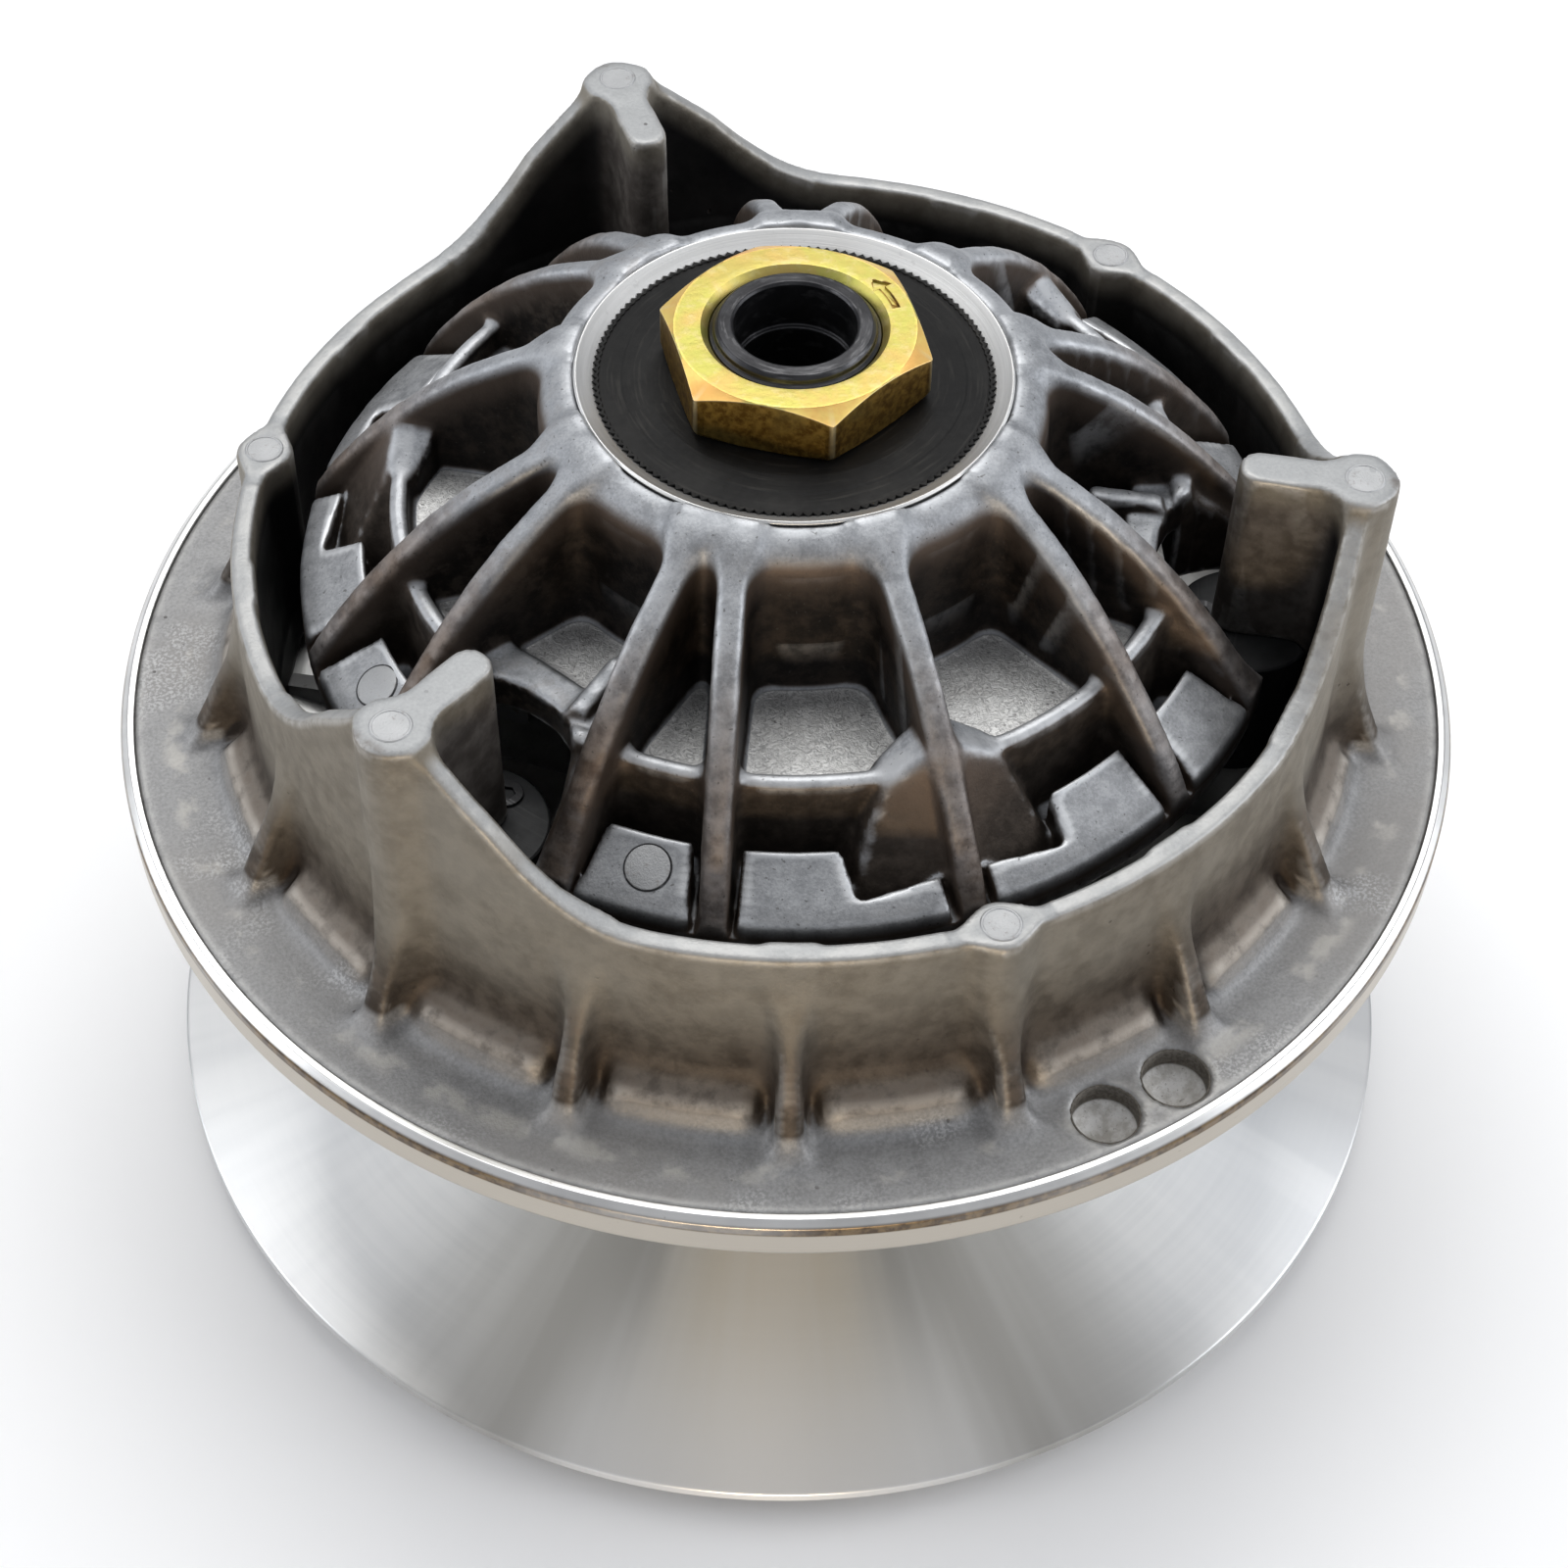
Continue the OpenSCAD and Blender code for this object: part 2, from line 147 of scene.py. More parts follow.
def bevelled(name, build, mat, body, node=None, width=0.4, seg=2, angle=30):
    """Runs build(bm) in millimetres, rounds the sharp edges, and makes the piece."""
    bm = bmesh.new()
    build(bm)
    bmesh.ops.remove_doubles(bm, verts=bm.verts, dist=0.002)
    bmesh.ops.dissolve_limit(bm, angle_limit=math.radians(0.6), verts=bm.verts, edges=bm.edges)
    bmesh.ops.recalc_face_normals(bm, faces=bm.faces)
    es = [e for e in bm.edges if len(e.link_faces) == 2 and e.calc_face_angle(0) > math.radians(angle)]
    if width > 0:
        bmesh.ops.bevel(bm, geom=es, offset=width, offset_type='OFFSET', segments=seg, profile=0.6, affect='EDGES', clamp_overlap=True)
    bmesh.ops.scale(bm, vec=(MM, MM, MM), verts=bm.verts)
    me = bpy.data.meshes.new(name)
    for f in bm.faces:
        f.smooth = True
    for e in bm.edges:
        if len(e.link_faces) == 2 and e.calc_face_angle(0) > math.radians(35):
            e.smooth = False
    bm.to_mesh(me); bm.free()
    ob = bpy.data.objects.new(name, me)
    bpy.context.scene.collection.objects.link(ob)
    me.materials.append(mat)
    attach(ob, body)
    if node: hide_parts(*([node] if isinstance(node, str) else node))
    w = ob.modifiers.new("wn", 'WEIGHTED_NORMAL'); w.keep_sharp = True; w.weight = 70
    return ob


def prism(bm, outline, z0, z1, m=None):
    """Adds an upright prism with the outline (x, y) between z0 and z1."""
    lo = [bm.verts.new((x, y, z0)) for x, y in outline]
    hi = [bm.verts.new((x, y, z1)) for x, y in outline]
    n = len(outline)
    fs = [bm.faces.new(lo[::-1]), bm.faces.new(hi)] + [bm.faces.new((lo[i], lo[(i + 1) % n], hi[(i + 1) % n], hi[i])) for i in range(n)]
    if m is not None:
        bmesh.ops.transform(bm, matrix=m, verts=lo + hi)
    return lo + hi


# ------------------------------------------------------------------ solid fields
def smin(a, b, k):
    h = np.maximum(k - np.abs(a - b), 0) / k
    return np.minimum(a, b) - h * h * (k * 0.25)


def smax(a, b, k):
    return -smin(-a, -b, k)


def nets(F, r, t0, z):
    """Surface nets over a field on a round grid (r, angle, z); the angle wraps. F is negative inside."""
    nr, nt, nz = F.shape
    S = F < 0
    Sj = np.roll(S, -1, axis=1)
    cnt = np.zeros((nr - 1, nt, nz - 1), np.uint8)
    for A in (S, Sj):
        for di in (0, 1):
            for pocket_shade_col in (0, 1):
                cnt += A[di:nr - 1 + di, :, pocket_shade_col:nz - 1 + pocket_shade_col]
    act = (cnt > 0) & (cnt < 8)
    idx = np.full(act.shape, -1, np.int32)
    I, J, K = np.nonzero(act)
    idx[I, J, K] = np.arange(len(I))
    J1 = (J + 1) % nt
    cor = {(a, b, c): F[I + a, J1 if b else J, K + c] for a in (0, 1) for b in (0, 1) for c in (0, 1)}
    pos = np.zeros((len(I), 3)); num = np.zeros(len(I))
    for ax in range(3):
        for o1 in (0, 1):
            for o2 in (0, 1):
                lo = [o1, o2]; lo.insert(ax, 0); hi = [o1, o2]; hi.insert(ax, 1)
                f0, f1 = cor[tuple(lo)], cor[tuple(hi)]
                m = (f0 < 0) != (f1 < 0)
                t = np.where(m, f0 / np.where(m, f0 - f1, 1), 0)
                add = np.array(lo, float)[None, :] * m[:, None]
                add[:, ax] = t
                pos += add; num += m
    pos /= num[:, None]
    dt = 2 * math.pi / nt
    R = r[I] + pos[:, 0] * (r[I + 1] - r[I]); Z = z[K] + pos[:, 2] * (z[K + 1] - z[K])
    T = t0 + (J + pos[:, 1]) * dt
    v = np.stack([R * np.cos(T), R * np.sin(T), Z], -1)
    quads = []
    i, j, k = np.nonzero(S[:-1, :, 1:-1] != S[1:, :, 1:-1]); k = k + 1; jm = (j - 1) % nt
    q = np.stack([idx[i, jm, k - 1], idx[i, j, k - 1], idx[i, j, k], idx[i, jm, k]], -1); f = S[i, j, k]
    quads.append(np.where(f[:, None], q, q[:, ::-1]))
    i, j, k = np.nonzero(S[1:-1, :, 1:-1] != Sj[1:-1, :, 1:-1]); i = i + 1; k = k + 1
    q = np.stack([idx[i - 1, j, k - 1], idx[i - 1, j, k], idx[i, j, k], idx[i, j, k - 1]], -1); f = S[i, j, k]
    quads.append(np.where(f[:, None], q, q[:, ::-1]))
    i, j, k = np.nonzero(S[1:-1, :, :-1] != S[1:-1, :, 1:]); i = i + 1; jm = (j - 1) % nt
    q = np.stack([idx[i - 1, jm, k], idx[i, jm, k], idx[i, j, k], idx[i - 1, j, k]], -1); f = S[i, j, k]
    quads.append(np.where(f[:, None], q, q[:, ::-1]))
    return v, np.concatenate(quads), (I, J, K)


def blur(a, w, axis, wrap):
    p = [(0, 0)] * 3; p[axis] = (w + 1, w)
    b = np.pad(a, p, mode="wrap" if wrap else "edge")
    c = np.cumsum(b, axis=axis, dtype=np.float32)
    n = a.shape[axis]
    hi = np.take(c, range(2 * w + 1, 2 * w + 1 + n), axis=axis); lo = np.take(c, range(0, n), axis=axis)
    return (hi - lo) / (2 * w + 1)


def filled(F, w, cells):
    """How full of metal the neighbourhood of each surface cell is: 0.5 on a flat, more in a hollow, less on an edge."""
    a = np.clip(0.5 - F / 0.7, 0, 1).astype(np.float32)
    for ax in (0, 1, 2):
        a = blur(a, w, ax, ax == 1)
    I, J, K = cells
    J1 = (J + 1) % F.shape[1]
    return (a[I, J, K] + a[I + 1, J, K] + a[I, J1, K] + a[I, J, K + 1] + a[I + 1, J1, K + 1] + a[I + 1, J, K + 1]) / 6


def vnoise(p, s, seed=0):
    q = p * s + seed * 17.31
    i = np.floor(q).astype(np.int64); f = q - i; f = f * f * (3 - 2 * f)
    def h(a, b, c):
        n = (a * 73856093) ^ (b * 19349663) ^ (c * 83492791) ^ (seed * 2654435761)
        n = (n ^ (n >> 13)) * 1274126177 & 0x7fffffff
        return (n & 0xffff) / 65535.0
    o = 0
    for a in (0, 1):
        for b in (0, 1):
            for c in (0, 1):
                w = (f[:, 0] if a else 1 - f[:, 0]) * (f[:, 1] if b else 1 - f[:, 1]) * (f[:, 2] if c else 1 - f[:, 2])
                o = o + w * h(i[:, 0] + a, i[:, 1] + b, i[:, 2] + c)
    return o * 2 - 1


def normals(v, f):
    a, b, c, d = (v[f[:, i]] for i in range(4))
    n = np.cross(c - a, d - b)
    out = np.stack([sum(np.bincount(f[:, i], weights=n[:, k], minlength=len(v)) for i in range(4)) for k in range(3)], -1)
    return out / np.maximum(np.linalg.norm(out, axis=1), 1e-9)[:, None]


def relax(v, f, times=4, lam=0.5, mu=-0.52):
    """Evens out the net without shrinking it."""
    a, b = f.ravel(), f[:, [1, 2, 3, 0]].ravel()
    src, dst = np.concatenate([a, b]), np.concatenate([b, a])
    deg = np.maximum(np.bincount(src, minlength=len(v)), 1)
    v = v.copy()
    for _ in range(times):
        for s in (lam, mu):
            avg = np.stack([np.bincount(src, weights=v[dst, k], minlength=len(v)) / deg for k in range(3)], -1)
            v += s * (avg - v)
    return v


def spread(a, f, times):
    """Averages a per-point value over the net."""
    i, j = f.ravel(), f[:, [1, 2, 3, 0]].ravel()
    src, dst = np.concatenate([i, j]), np.concatenate([j, i])
    deg = np.maximum(np.bincount(src, minlength=len(a)), 1)
    for _ in range(times):
        a = 0.4 * a + 0.6 * np.bincount(src, weights=a[dst], minlength=len(a)) / deg
    return a


# ------------------------------------------------------------------ materials
class G:
    """A small node-graph writer."""
    def __init__(s, name):
        s.m = bpy.data.materials.new(name); s.m.use_nodes = True
        s.t = s.m.node_tree; s.t.nodes.clear()
        s.out = s.t.nodes.new("ShaderNodeOutputMaterial")
        s.b = s.t.nodes.new("ShaderNodeBsdfPrincipled")
        s.t.links.new(s.b.outputs[0], s.out.inputs[0])
        s.co = s.t.nodes.new("ShaderNodeTexCoord").outputs["Object"]
        sp = s.t.nodes.new("ShaderNodeSeparateXYZ"); s.t.links.new(s.co, sp.inputs[0])
        s.x, s.y, s.z = sp.outputs
    def put(s, sock, v):
        if hasattr(v, "is_output"):
            s.t.links.new(v, sock)
        else:
            sock.default_value = v
    def m2(s, op, a, b=0.0, c=None, clamp=False):
        n = s.t.nodes.new("ShaderNodeMath"); n.operation = op; n.use_clamp = clamp
        s.put(n.inputs[0], a); s.put(n.inputs[1], b)
        if c is not None: s.put(n.inputs[2], c)
        return n.outputs[0]
    def radius(s, cx=0.0, cy=0.0):
        x = s.m2('SUBTRACT', s.x, cx) if cx else s.x
        y = s.m2('SUBTRACT', s.y, cy) if cy else s.y
        return s.m2('SQRT', s.m2('ADD', s.m2('MULTIPLY', x, x), s.m2('MULTIPLY', y, y)))
    def noise(s, scale, detail=4.0, rough=0.55, dist=0.0, vec=None, lac=2.0):
        n = s.t.nodes.new("ShaderNodeTexNoise")
        s.put(n.inputs["Vector"], vec if vec is not None else s.co)
        for k, v in (("Scale", scale), ("Detail", detail), ("Roughness", rough), ("Distortion", dist), ("Lacunarity", lac)):
            n.inputs[k].default_value = v
        return n.outputs["Fac"]
    def voro(s, scale, feature='F1', vec=None, rnd=1.0):
        n = s.t.nodes.new("ShaderNodeTexVoronoi"); n.feature = feature
        s.put(n.inputs["Vector"], vec if vec is not None else s.co)
        n.inputs["Scale"].default_value = scale; n.inputs["Randomness"].default_value = rnd
        return n.outputs["Distance"]
    def step(s, v, lo, hi, a=0.0, b=1.0):
        n = s.t.nodes.new("ShaderNodeMapRange"); n.interpolation_type = 'SMOOTHSTEP'
        s.put(n.inputs[0], v)
        for i, q in ((1, lo), (2, hi), (3, a), (4, b)): n.inputs[i].default_value = q
        return n.outputs[0]
    def mix(s, f, a, b, mode='MIX'):
        n = s.t.nodes.new("ShaderNodeMix"); n.data_type = 'RGBA'; n.blend_type = mode
        s.put(n.inputs[0], f)
        for sock, v in ((n.inputs[6], a), (n.inputs[7], b)):
            s.put(sock, v if hasattr(v, "is_output") else (*v, 1.0))
        return n.outputs[2]
    def attr(s, name):
        n = s.t.nodes.new("ShaderNodeAttribute"); n.attribute_name = name
        return n.outputs["Fac"]
    def warp(s, sx, sy, sz):
        n = s.t.nodes.new("ShaderNodeMapping"); s.put(n.inputs[0], s.co); n.inputs["Scale"].default_value = (sx, sy, sz)
        return n.outputs[0]
    def polar(s, kr, ka, kz):
        """Coordinates (radius, angle, height), scaled, for marks that run round or along the shaft."""
        r = s.radius(); a = s.m2('ARCTAN2', s.y, s.x)
        n = s.t.nodes.new("ShaderNodeCombineXYZ")
        s.put(n.inputs[0], s.m2('MULTIPLY', r, kr)); s.put(n.inputs[1], s.m2('MULTIPLY', a, ka)); s.put(n.inputs[2], s.m2('MULTIPLY', s.z, kz))
        return n.outputs[0]
    def bump(s, h, dist, strength=1.0, normal=None):
        n = s.t.nodes.new("ShaderNodeBump"); s.put(n.inputs["Height"], h)
        n.inputs["Strength"].default_value = strength; n.inputs["Distance"].default_value = dist
        if normal is not None: s.t.links.new(normal, n.inputs["Normal"])
        return n.outputs[0]
    def done(s, color, rough, metal=1.0, normal=None, spec=0.5, aniso=0.0, tangent=False, coat=0.0):
        b = s.b
        s.put(b.inputs["Base Color"], color if hasattr(color, "is_output") else (*color, 1.0))
        s.put(b.inputs["Roughness"], rough); s.put(b.inputs["Metallic"], metal)
        b.inputs["Specular IOR Level"].default_value = spec
        if normal is not None: s.t.links.new(normal, b.inputs["Normal"])
        if aniso:
            b.inputs["Anisotropic"].default_value = aniso
            if tangent:
                n = s.t.nodes.new("ShaderNodeTangent"); n.direction_type = 'RADIAL'; n.axis = 'Z'
                s.t.links.new(n.outputs[0], b.inputs["Tangent"])
        if coat:
            b.inputs["Coat Weight"].default_value = coat; b.inputs["Coat Roughness"].default_value = 0.25
        return s.m


def mat_cup():
    g = G("cast_cup")
    edge, cav, depth, up = g.attr("edge"), g.attr("cav"), g.attr("depth"), g.attr("up")
    r = g.radius()
    n1 = g.noise(60, 4, 0.55); n2 = g.noise(380, 6, 0.62); n3 = g.noise(2300, 3, 0.6); n4 = g.noise(30, 3, 0.5)
    mott = g.m2('ADD', g.m2('MULTIPLY', n2, 0.6), g.m2('MULTIPLY', n3, 0.4))
    grey = g.mix(g.step(mott, 0.34, 0.66), (0.235, 0.245, 0.259), (0.375, 0.388, 0.407))
    grey = g.mix(g.step(n1, 0.45, 0.72, 0, 0.5), grey, (0.440, 0.454, 0.474))
    # the ribs' outer ends are browner and darker on top
    brown = g.mix(g.step(n2, 0.36, 0.66), (0.080, 0.054, 0.038), (0.180, 0.134, 0.102))
    end = g.m2('MULTIPLY', g.step(r, 0.044, 0.061), g.attr("rib"))
    grey = g.mix(g.m2('MULTIPLY', end, g.step(n4, 0.30, 0.62, 0.55, 0.95)), grey, brown)
    # painted shade: the deep walls go from warm brown to black with depth
    pocket_shade_col = g.mix(g.step(n2, 0.35, 0.7), (0.014, 0.012, 0.011), (0.042, 0.033, 0.027))
    pocket_shade_col = g.mix(g.step(r, 0.0565, 0.0580), pocket_shade_col, g.mix(g.step(n2, 0.35, 0.7), (0.042, 0.034, 0.028), (0.085, 0.069, 0.057)))
    pocket_shade_mask = g.m2('MULTIPLY', g.step(depth, 0.05, 0.34), g.step(up, 0.84, 0.45))
    warm = g.mix(g.m2('MULTIPLY', g.step(depth, 0.012, 0.10), g.step(up, 0.85, 0.45)), grey, (0.105, 0.080, 0.064))
    col = g.mix(pocket_shade_mask, warm, pocket_shade_col)
    # pocket floors: a flaky lighter skin
    fl = g.m2('MULTIPLY', g.m2('MULTIPLY', g.step(depth, 0.22, 0.42), g.step(up, 0.86, 0.96)), g.m2('MULTIPLY', g.step(r, 0.0600, 0.0590), g.step(g.z, 0.1200, 0.1192)))
    flk = g.noise(950, 2, 0.75, 1.8)
    fcol = g.mix(g.step(flk, 0.34, 0.62), (0.46, 0.46, 0.46), (0.86, 0.86, 0.85))
    fcol = g.mix(g.step(n2, 0.30, 0.62, 0.80, 0.15), fcol, (0.62, 0.62, 0.61))
    # painted shade: the floors turn near black in their hollow corners
    fcol = g.mix(g.step(cav, 0.66, 0.84, 0, 0.85), fcol, (0.08, 0.072, 0.065))
    col = g.mix(fl, col, fcol)
    led = g.m2('MULTIPLY', g.m2('MULTIPLY', g.step(r, 0.0612, 0.0622), g.step(up, 0.70, 0.88)), g.m2('SUBTRACT', 1.0, g.attr("rib")))
    lcol = g.mix(g.step(mott, 0.34, 0.66), (0.255, 0.262, 0.272), (0.400, 0.408, 0.420))
    lcol = g.mix(g.step(r, 0.0690, 0.0725, 0, 0.45), lcol, (0.12, 0.122, 0.126))
    col = g.mix(led, col, lcol)
    lip = g.m2('MULTIPLY', led, g.m2('MULTIPLY', g.step(edge, 0.47, 0.40), g.step(r, 0.0700, 0.0690)))
    col = g.mix(g.m2('MULTIPLY', lip, 0.85), col, (0.62, 0.63, 0.64))
    # the ring rib's top is painted lighter
    rr = g.m2('MULTIPLY', g.m2('MULTIPLY', g.step(r, 0.0550, 0.0562), g.step(r, 0.0604, 0.0592)), g.m2('MULTIPLY', g.step(up, 0.40, 0.80), g.step(depth, 0.05, 0.12)))
    rr = g.m2('MULTIPLY', rr, g.step(g.z, 0.1190, 0.1205))
    col = g.mix(g.m2('MULTIPLY', rr, g.step(n2, 0.34, 0.60, 0.35, 0.85)), col, (0.44, 0.45, 0.465))
    # painted shade in the corners, worn light edges
    col = g.mix(g.m2('MULTIPLY', g.m2('MULTIPLY', g.step(cav, 0.66, 0.86), 0.60), g.m2('SUBTRACT', 1.0, fl)), col, (0.022, 0.019, 0.017))
    wear = g.m2('MULTIPLY', g.step(edge, 0.45, 0.34), g.step(n2, 0.30, 0.60, 0.35, 1.0))
    wear = g.m2('MULTIPLY', wear, g.m2('SUBTRACT', 1.0, g.m2('MULTIPLY', end, 0.75)))
    col = g.mix(g.m2('MULTIPLY', wear, 0.60), col, (0.58, 0.595, 0.615))
    smut = g.m2('MULTIPLY', g.step(n4, 0.52, 0.70), g.step(n2, 0.46, 0.6))
    col = g.mix(g.m2('MULTIPLY', smut, 0.35), col, (0.125, 0.105, 0.088))
    speck = g.step(g.noise(1500, 1, 0.5), 0.70, 0.76)
    col = g.mix(g.m2('MULTIPLY', speck, 0.55), col, (0.06, 0.055, 0.05))
    rough = g.m2('ADD', g.m2('MULTIPLY', n2, 0.22), g.m2('SUBTRACT', 0.46, g.m2('MULTIPLY', wear, 0.10)))
    b1 = g.bump(g.m2('ADD', g.m2('MULTIPLY', n2, 0.7), g.m2('MULTIPLY', n3, 0.35)), 0.00024, 0.5)
    b2 = g.bump(g.m2('MULTIPLY', flk, fl), 0.00022, 0.6, b1)
    return g.done(col, rough, 0.82, b2, 0.4)


def mat_flange():
    g = G("cast_flange")
    edge, cav, up, fin, bore = g.attr("edge"), g.attr("cav"), g.attr("up"), g.attr("fin"), g.attr("bore")
    r = g.radius()
    n1 = g.noise(48, 4, 0.55); n2 = g.noise(300, 6, 0.62); n3 = g.noise(1900, 3, 0.6); n4 = g.noise(22, 3, 0.5, 0.6)
    # the outside of the wall: olive grey near its top, browner and darker lower down
    hi = g.mix(g.step(n2, 0.32, 0.68), (0.158, 0.140, 0.112), (0.226, 0.205, 0.170))
    hi = g.mix(g.step(n1, 0.40, 0.70, 0, 0.45), hi, (0.270, 0.255, 0.222))
    lo = g.mix(g.step(n2, 0.32, 0.68), (0.060, 0.049, 0.040), (0.110, 0.092, 0.076))
    tan = g.mix(g.step(g.m2('ADD', g.z, g.m2('MULTIPLY', g.m2('SUBTRACT', n4, 0.5), 0.012)), 0.1075, 0.0880), hi, lo)
    # the flat of the flange: an even mottled grey
    mott = g.m2('ADD', g.m2('MULTIPLY', n2, 0.5), g.m2('MULTIPLY', n3, 0.5))
    face = g.mix(g.step(mott, 0.34, 0.64), (0.245, 0.245, 0.246), (0.350, 0.350, 0.350))
    face = g.mix(g.step(n4, 0.42, 0.66, 0, 0.5), face, (0.285, 0.272, 0.258))
    face = g.mix(g.m2('MULTIPLY', g.step(n1, 0.56, 0.66), g.step(n3, 0.45, 0.62)), face, (0.42, 0.42, 0.42))
    onface = g.m2('MULTIPLY', g.step(up, 0.80, 0.96), g.step(g.z, 0.0862, 0.0845))
    col = g.mix(onface, tan, face)
    foot = g.m2('MULTIPLY', g.step(r, 0.0862, 0.0876), g.step(g.z, 0.0870, 0.0858))
    col = g.mix(foot, col, face)
    # the plinths' shoulders: sandy, with a painted highlight along the outer side
    pad = g.m2('MULTIPLY', g.m2('MULTIPLY', g.step(r, 0.0815, 0.0868), g.step(r, 0.0896, 0.0880)), g.m2('MULTIPLY', g.step(g.z, 0.0842, 0.0852), g.step(up, 0.35, 0.75)))
    pad = g.m2('MULTIPLY', pad, g.step(g.z, 0.0900, 0.0885))
    col = g.mix(g.m2('MULTIPLY', pad, g.step(n2, 0.30, 0.62, 0.30, 0.80)), col, (0.36, 0.325, 0.285))
    # painted highlight on each plinth's rounded outer shoulder
    sh = g.m2('MULTIPLY', g.m2('MULTIPLY', g.step(edge, 0.495, 0.43), g.step(g.z, 0.0838, 0.0850)), g.m2('MULTIPLY', g.step(r, 0.0835, 0.0872), g.step(r, 0.0896, 0.0882)))
    sh = g.m2('MULTIPLY', sh, g.step(g.z, 0.0882, 0.0870))
    col = g.mix(g.m2('MULTIPLY', sh, g.step(n2, 0.28, 0.64, 0.15, 0.85)), col, (0.54, 0.505, 0.46))
    # the tops of the wall, towers and bosses: clean light grey
    tops = g.m2('MULTIPLY', g.step(up, 0.50, 0.85), g.step(g.z, 0.1085, 0.1115))
    col = g.mix(tops, col, g.mix(g.step(mott, 0.34, 0.66), (0.335, 0.342, 0.345), (0.395, 0.402, 0.405)))
    # inside of the wall: painted shade, almost black, lighter by the top edge and dark brown on the fins
    inner_wall_shade = g.m2('MULTIPLY', g.step(r, 0.0800, 0.0792), g.step(up, 0.6, 0.3))
    inner_wall_shade = g.m2('MULTIPLY', inner_wall_shade, g.step(g.attr("depth"), 0.02, 0.11))
    dark = g.mix(g.step(n1, 0.4, 0.7), (0.011, 0.011, 0.012), (0.034, 0.032, 0.031))
    dark = g.mix(fin, dark, g.mix(g.step(n2, 0.36, 0.68), (0.085, 0.074, 0.066), (0.150, 0.135, 0.122)))
    col = g.mix(inner_wall_shade, col, dark)
    # brown grime and painted shade in the corners, worn edges
    col = g.mix(g.m2('MULTIPLY', g.m2('MULTIPLY', g.step(cav, 0.59, 0.78), g.step(r, 0.0880, 0.0850)), g.step(n4, 0.25, 0.65, 0.4, 0.85)), col, (0.060, 0.044, 0.033))
    wear = g.m2('MULTIPLY', g.step(edge, 0.43, 0.33), g.step(n2, 0.28, 0.60, 0.25, 1.0))
    col = g.mix(g.m2('MULTIPLY', wear, 0.55), col, (0.46, 0.455, 0.44))
    # gusset ridges: brown smears
    rid = g.m2('MULTIPLY', g.m2('MULTIPLY', g.step(r, 0.0835, 0.0850), g.step(r, 0.0935, 0.0925)), g.m2('MULTIPLY', g.step(g.z, 0.0865, 0.0885), g.step(up, 0.15, 0.40)))
    col = g.mix(g.m2('MULTIPLY', rid, g.step(n2, 0.44, 0.64, 0.05, 0.6)), col, (0.125, 0.098, 0.078))
    # pale rubbed spots at the gussets' toes
    toe = g.m2('MULTIPLY', g.m2('MULTIPLY', g.step(r, 0.0920, 0.0935), g.step(r, 0.0972, 0.0945)), g.step(g.noise(140, 3, 0.6), 0.47, 0.62))
    col = g.mix(g.m2('MULTIPLY', toe, 0.50), col, (0.56, 0.54, 0.50))
    pits = g.step(g.voro(300), 0.11, 0.05)
    pits = g.m2('MULTIPLY', pits, g.step(g.noise(60, 2, 0.5), 0.52, 0.64))
    col = g.mix(g.m2('MULTIPLY', pits, 0.7), col, (0.055, 0.045, 0.038))
    # round the bored holes: a brown tint; the clean turned-metal mix below needs bore above 0.5, which this casting's
    # bore values, at most 0.35, never reach
    tool = g.noise(1.0, 2, 0.5, vec=g.warp(2600, 2600, 2600))
    col = g.mix(g.step(bore, 0.1, 0.3), col, (0.30, 0.275, 0.235))
    col = g.mix(g.step(bore, 0.5, 0.9), col, g.mix(g.step(tool, 0.3, 0.7), (0.66, 0.65, 0.63), (0.86, 0.85, 0.83)))
    rough = g.m2('ADD', g.m2('MULTIPLY', n2, 0.25), g.m2('SUBTRACT', 0.48, g.m2('MULTIPLY', wear, 0.12)))
    h = g.m2('ADD', g.m2('MULTIPLY', n2, 0.7), g.m2('MULTIPLY', n3, 0.3))
    h = g.m2('SUBTRACT', h, g.m2('MULTIPLY', pits, 0.8))
    return g.done(col, rough, 0.78, g.bump(h, 0.00030, 0.55), 0.4)


def mat_rim():
    g = G("turned_rim")
    r = g.radius()
    n2 = g.noise(60, 4, 0.6); fine = g.noise(1.0, 2, 0.5, vec=g.polar(3800, 0.5, 3800)); n3 = g.noise(600, 4, 0.6)
    ang = g.noise(1.0, 2, 0.5, vec=g.polar(0.0, 3.0, 40))
    col = g.mix(g.step(n2, 0.35, 0.7), (0.64, 0.64, 0.63), (0.78, 0.78, 0.77))
    low = g.m2('MULTIPLY', g.step(r, 0.1012, 0.1018), g.step(g.z, 0.0815, 0.0811))
    col = g.mix(low, col, (0.50, 0.46, 0.40))
    # painted reflection: a dark brown-gold line round the outer band, broken up round the rim
    line = g.m2('MULTIPLY', g.step(r, 0.1012, 0.1018), g.m2('MULTIPLY', g.step(g.z, 0.0808, 0.0812), g.step(g.z, 0.0829, 0.0825)))
    col = g.mix(g.m2('MULTIPLY', line, g.step(ang, 0.25, 0.6, 0.55, 0.95)), col, g.mix(g.step(n3, 0.4, 0.6), (0.060, 0.034, 0.014), (0.17, 0.112, 0.052)))
    col = g.mix(g.m2('MULTIPLY', g.step(n3, 0.66, 0.76), 0.35), col, (0.20, 0.17, 0.13))
    ro = g.m2('ADD', g.m2('MULTIPLY', fine, 0.12), g.m2('ADD', 0.20, g.m2('MULTIPLY', n2, 0.10)))
    return g.done(col, ro, 1.0, g.bump(fine, 0.00005, 0.3), 0.5, 0.5, True)


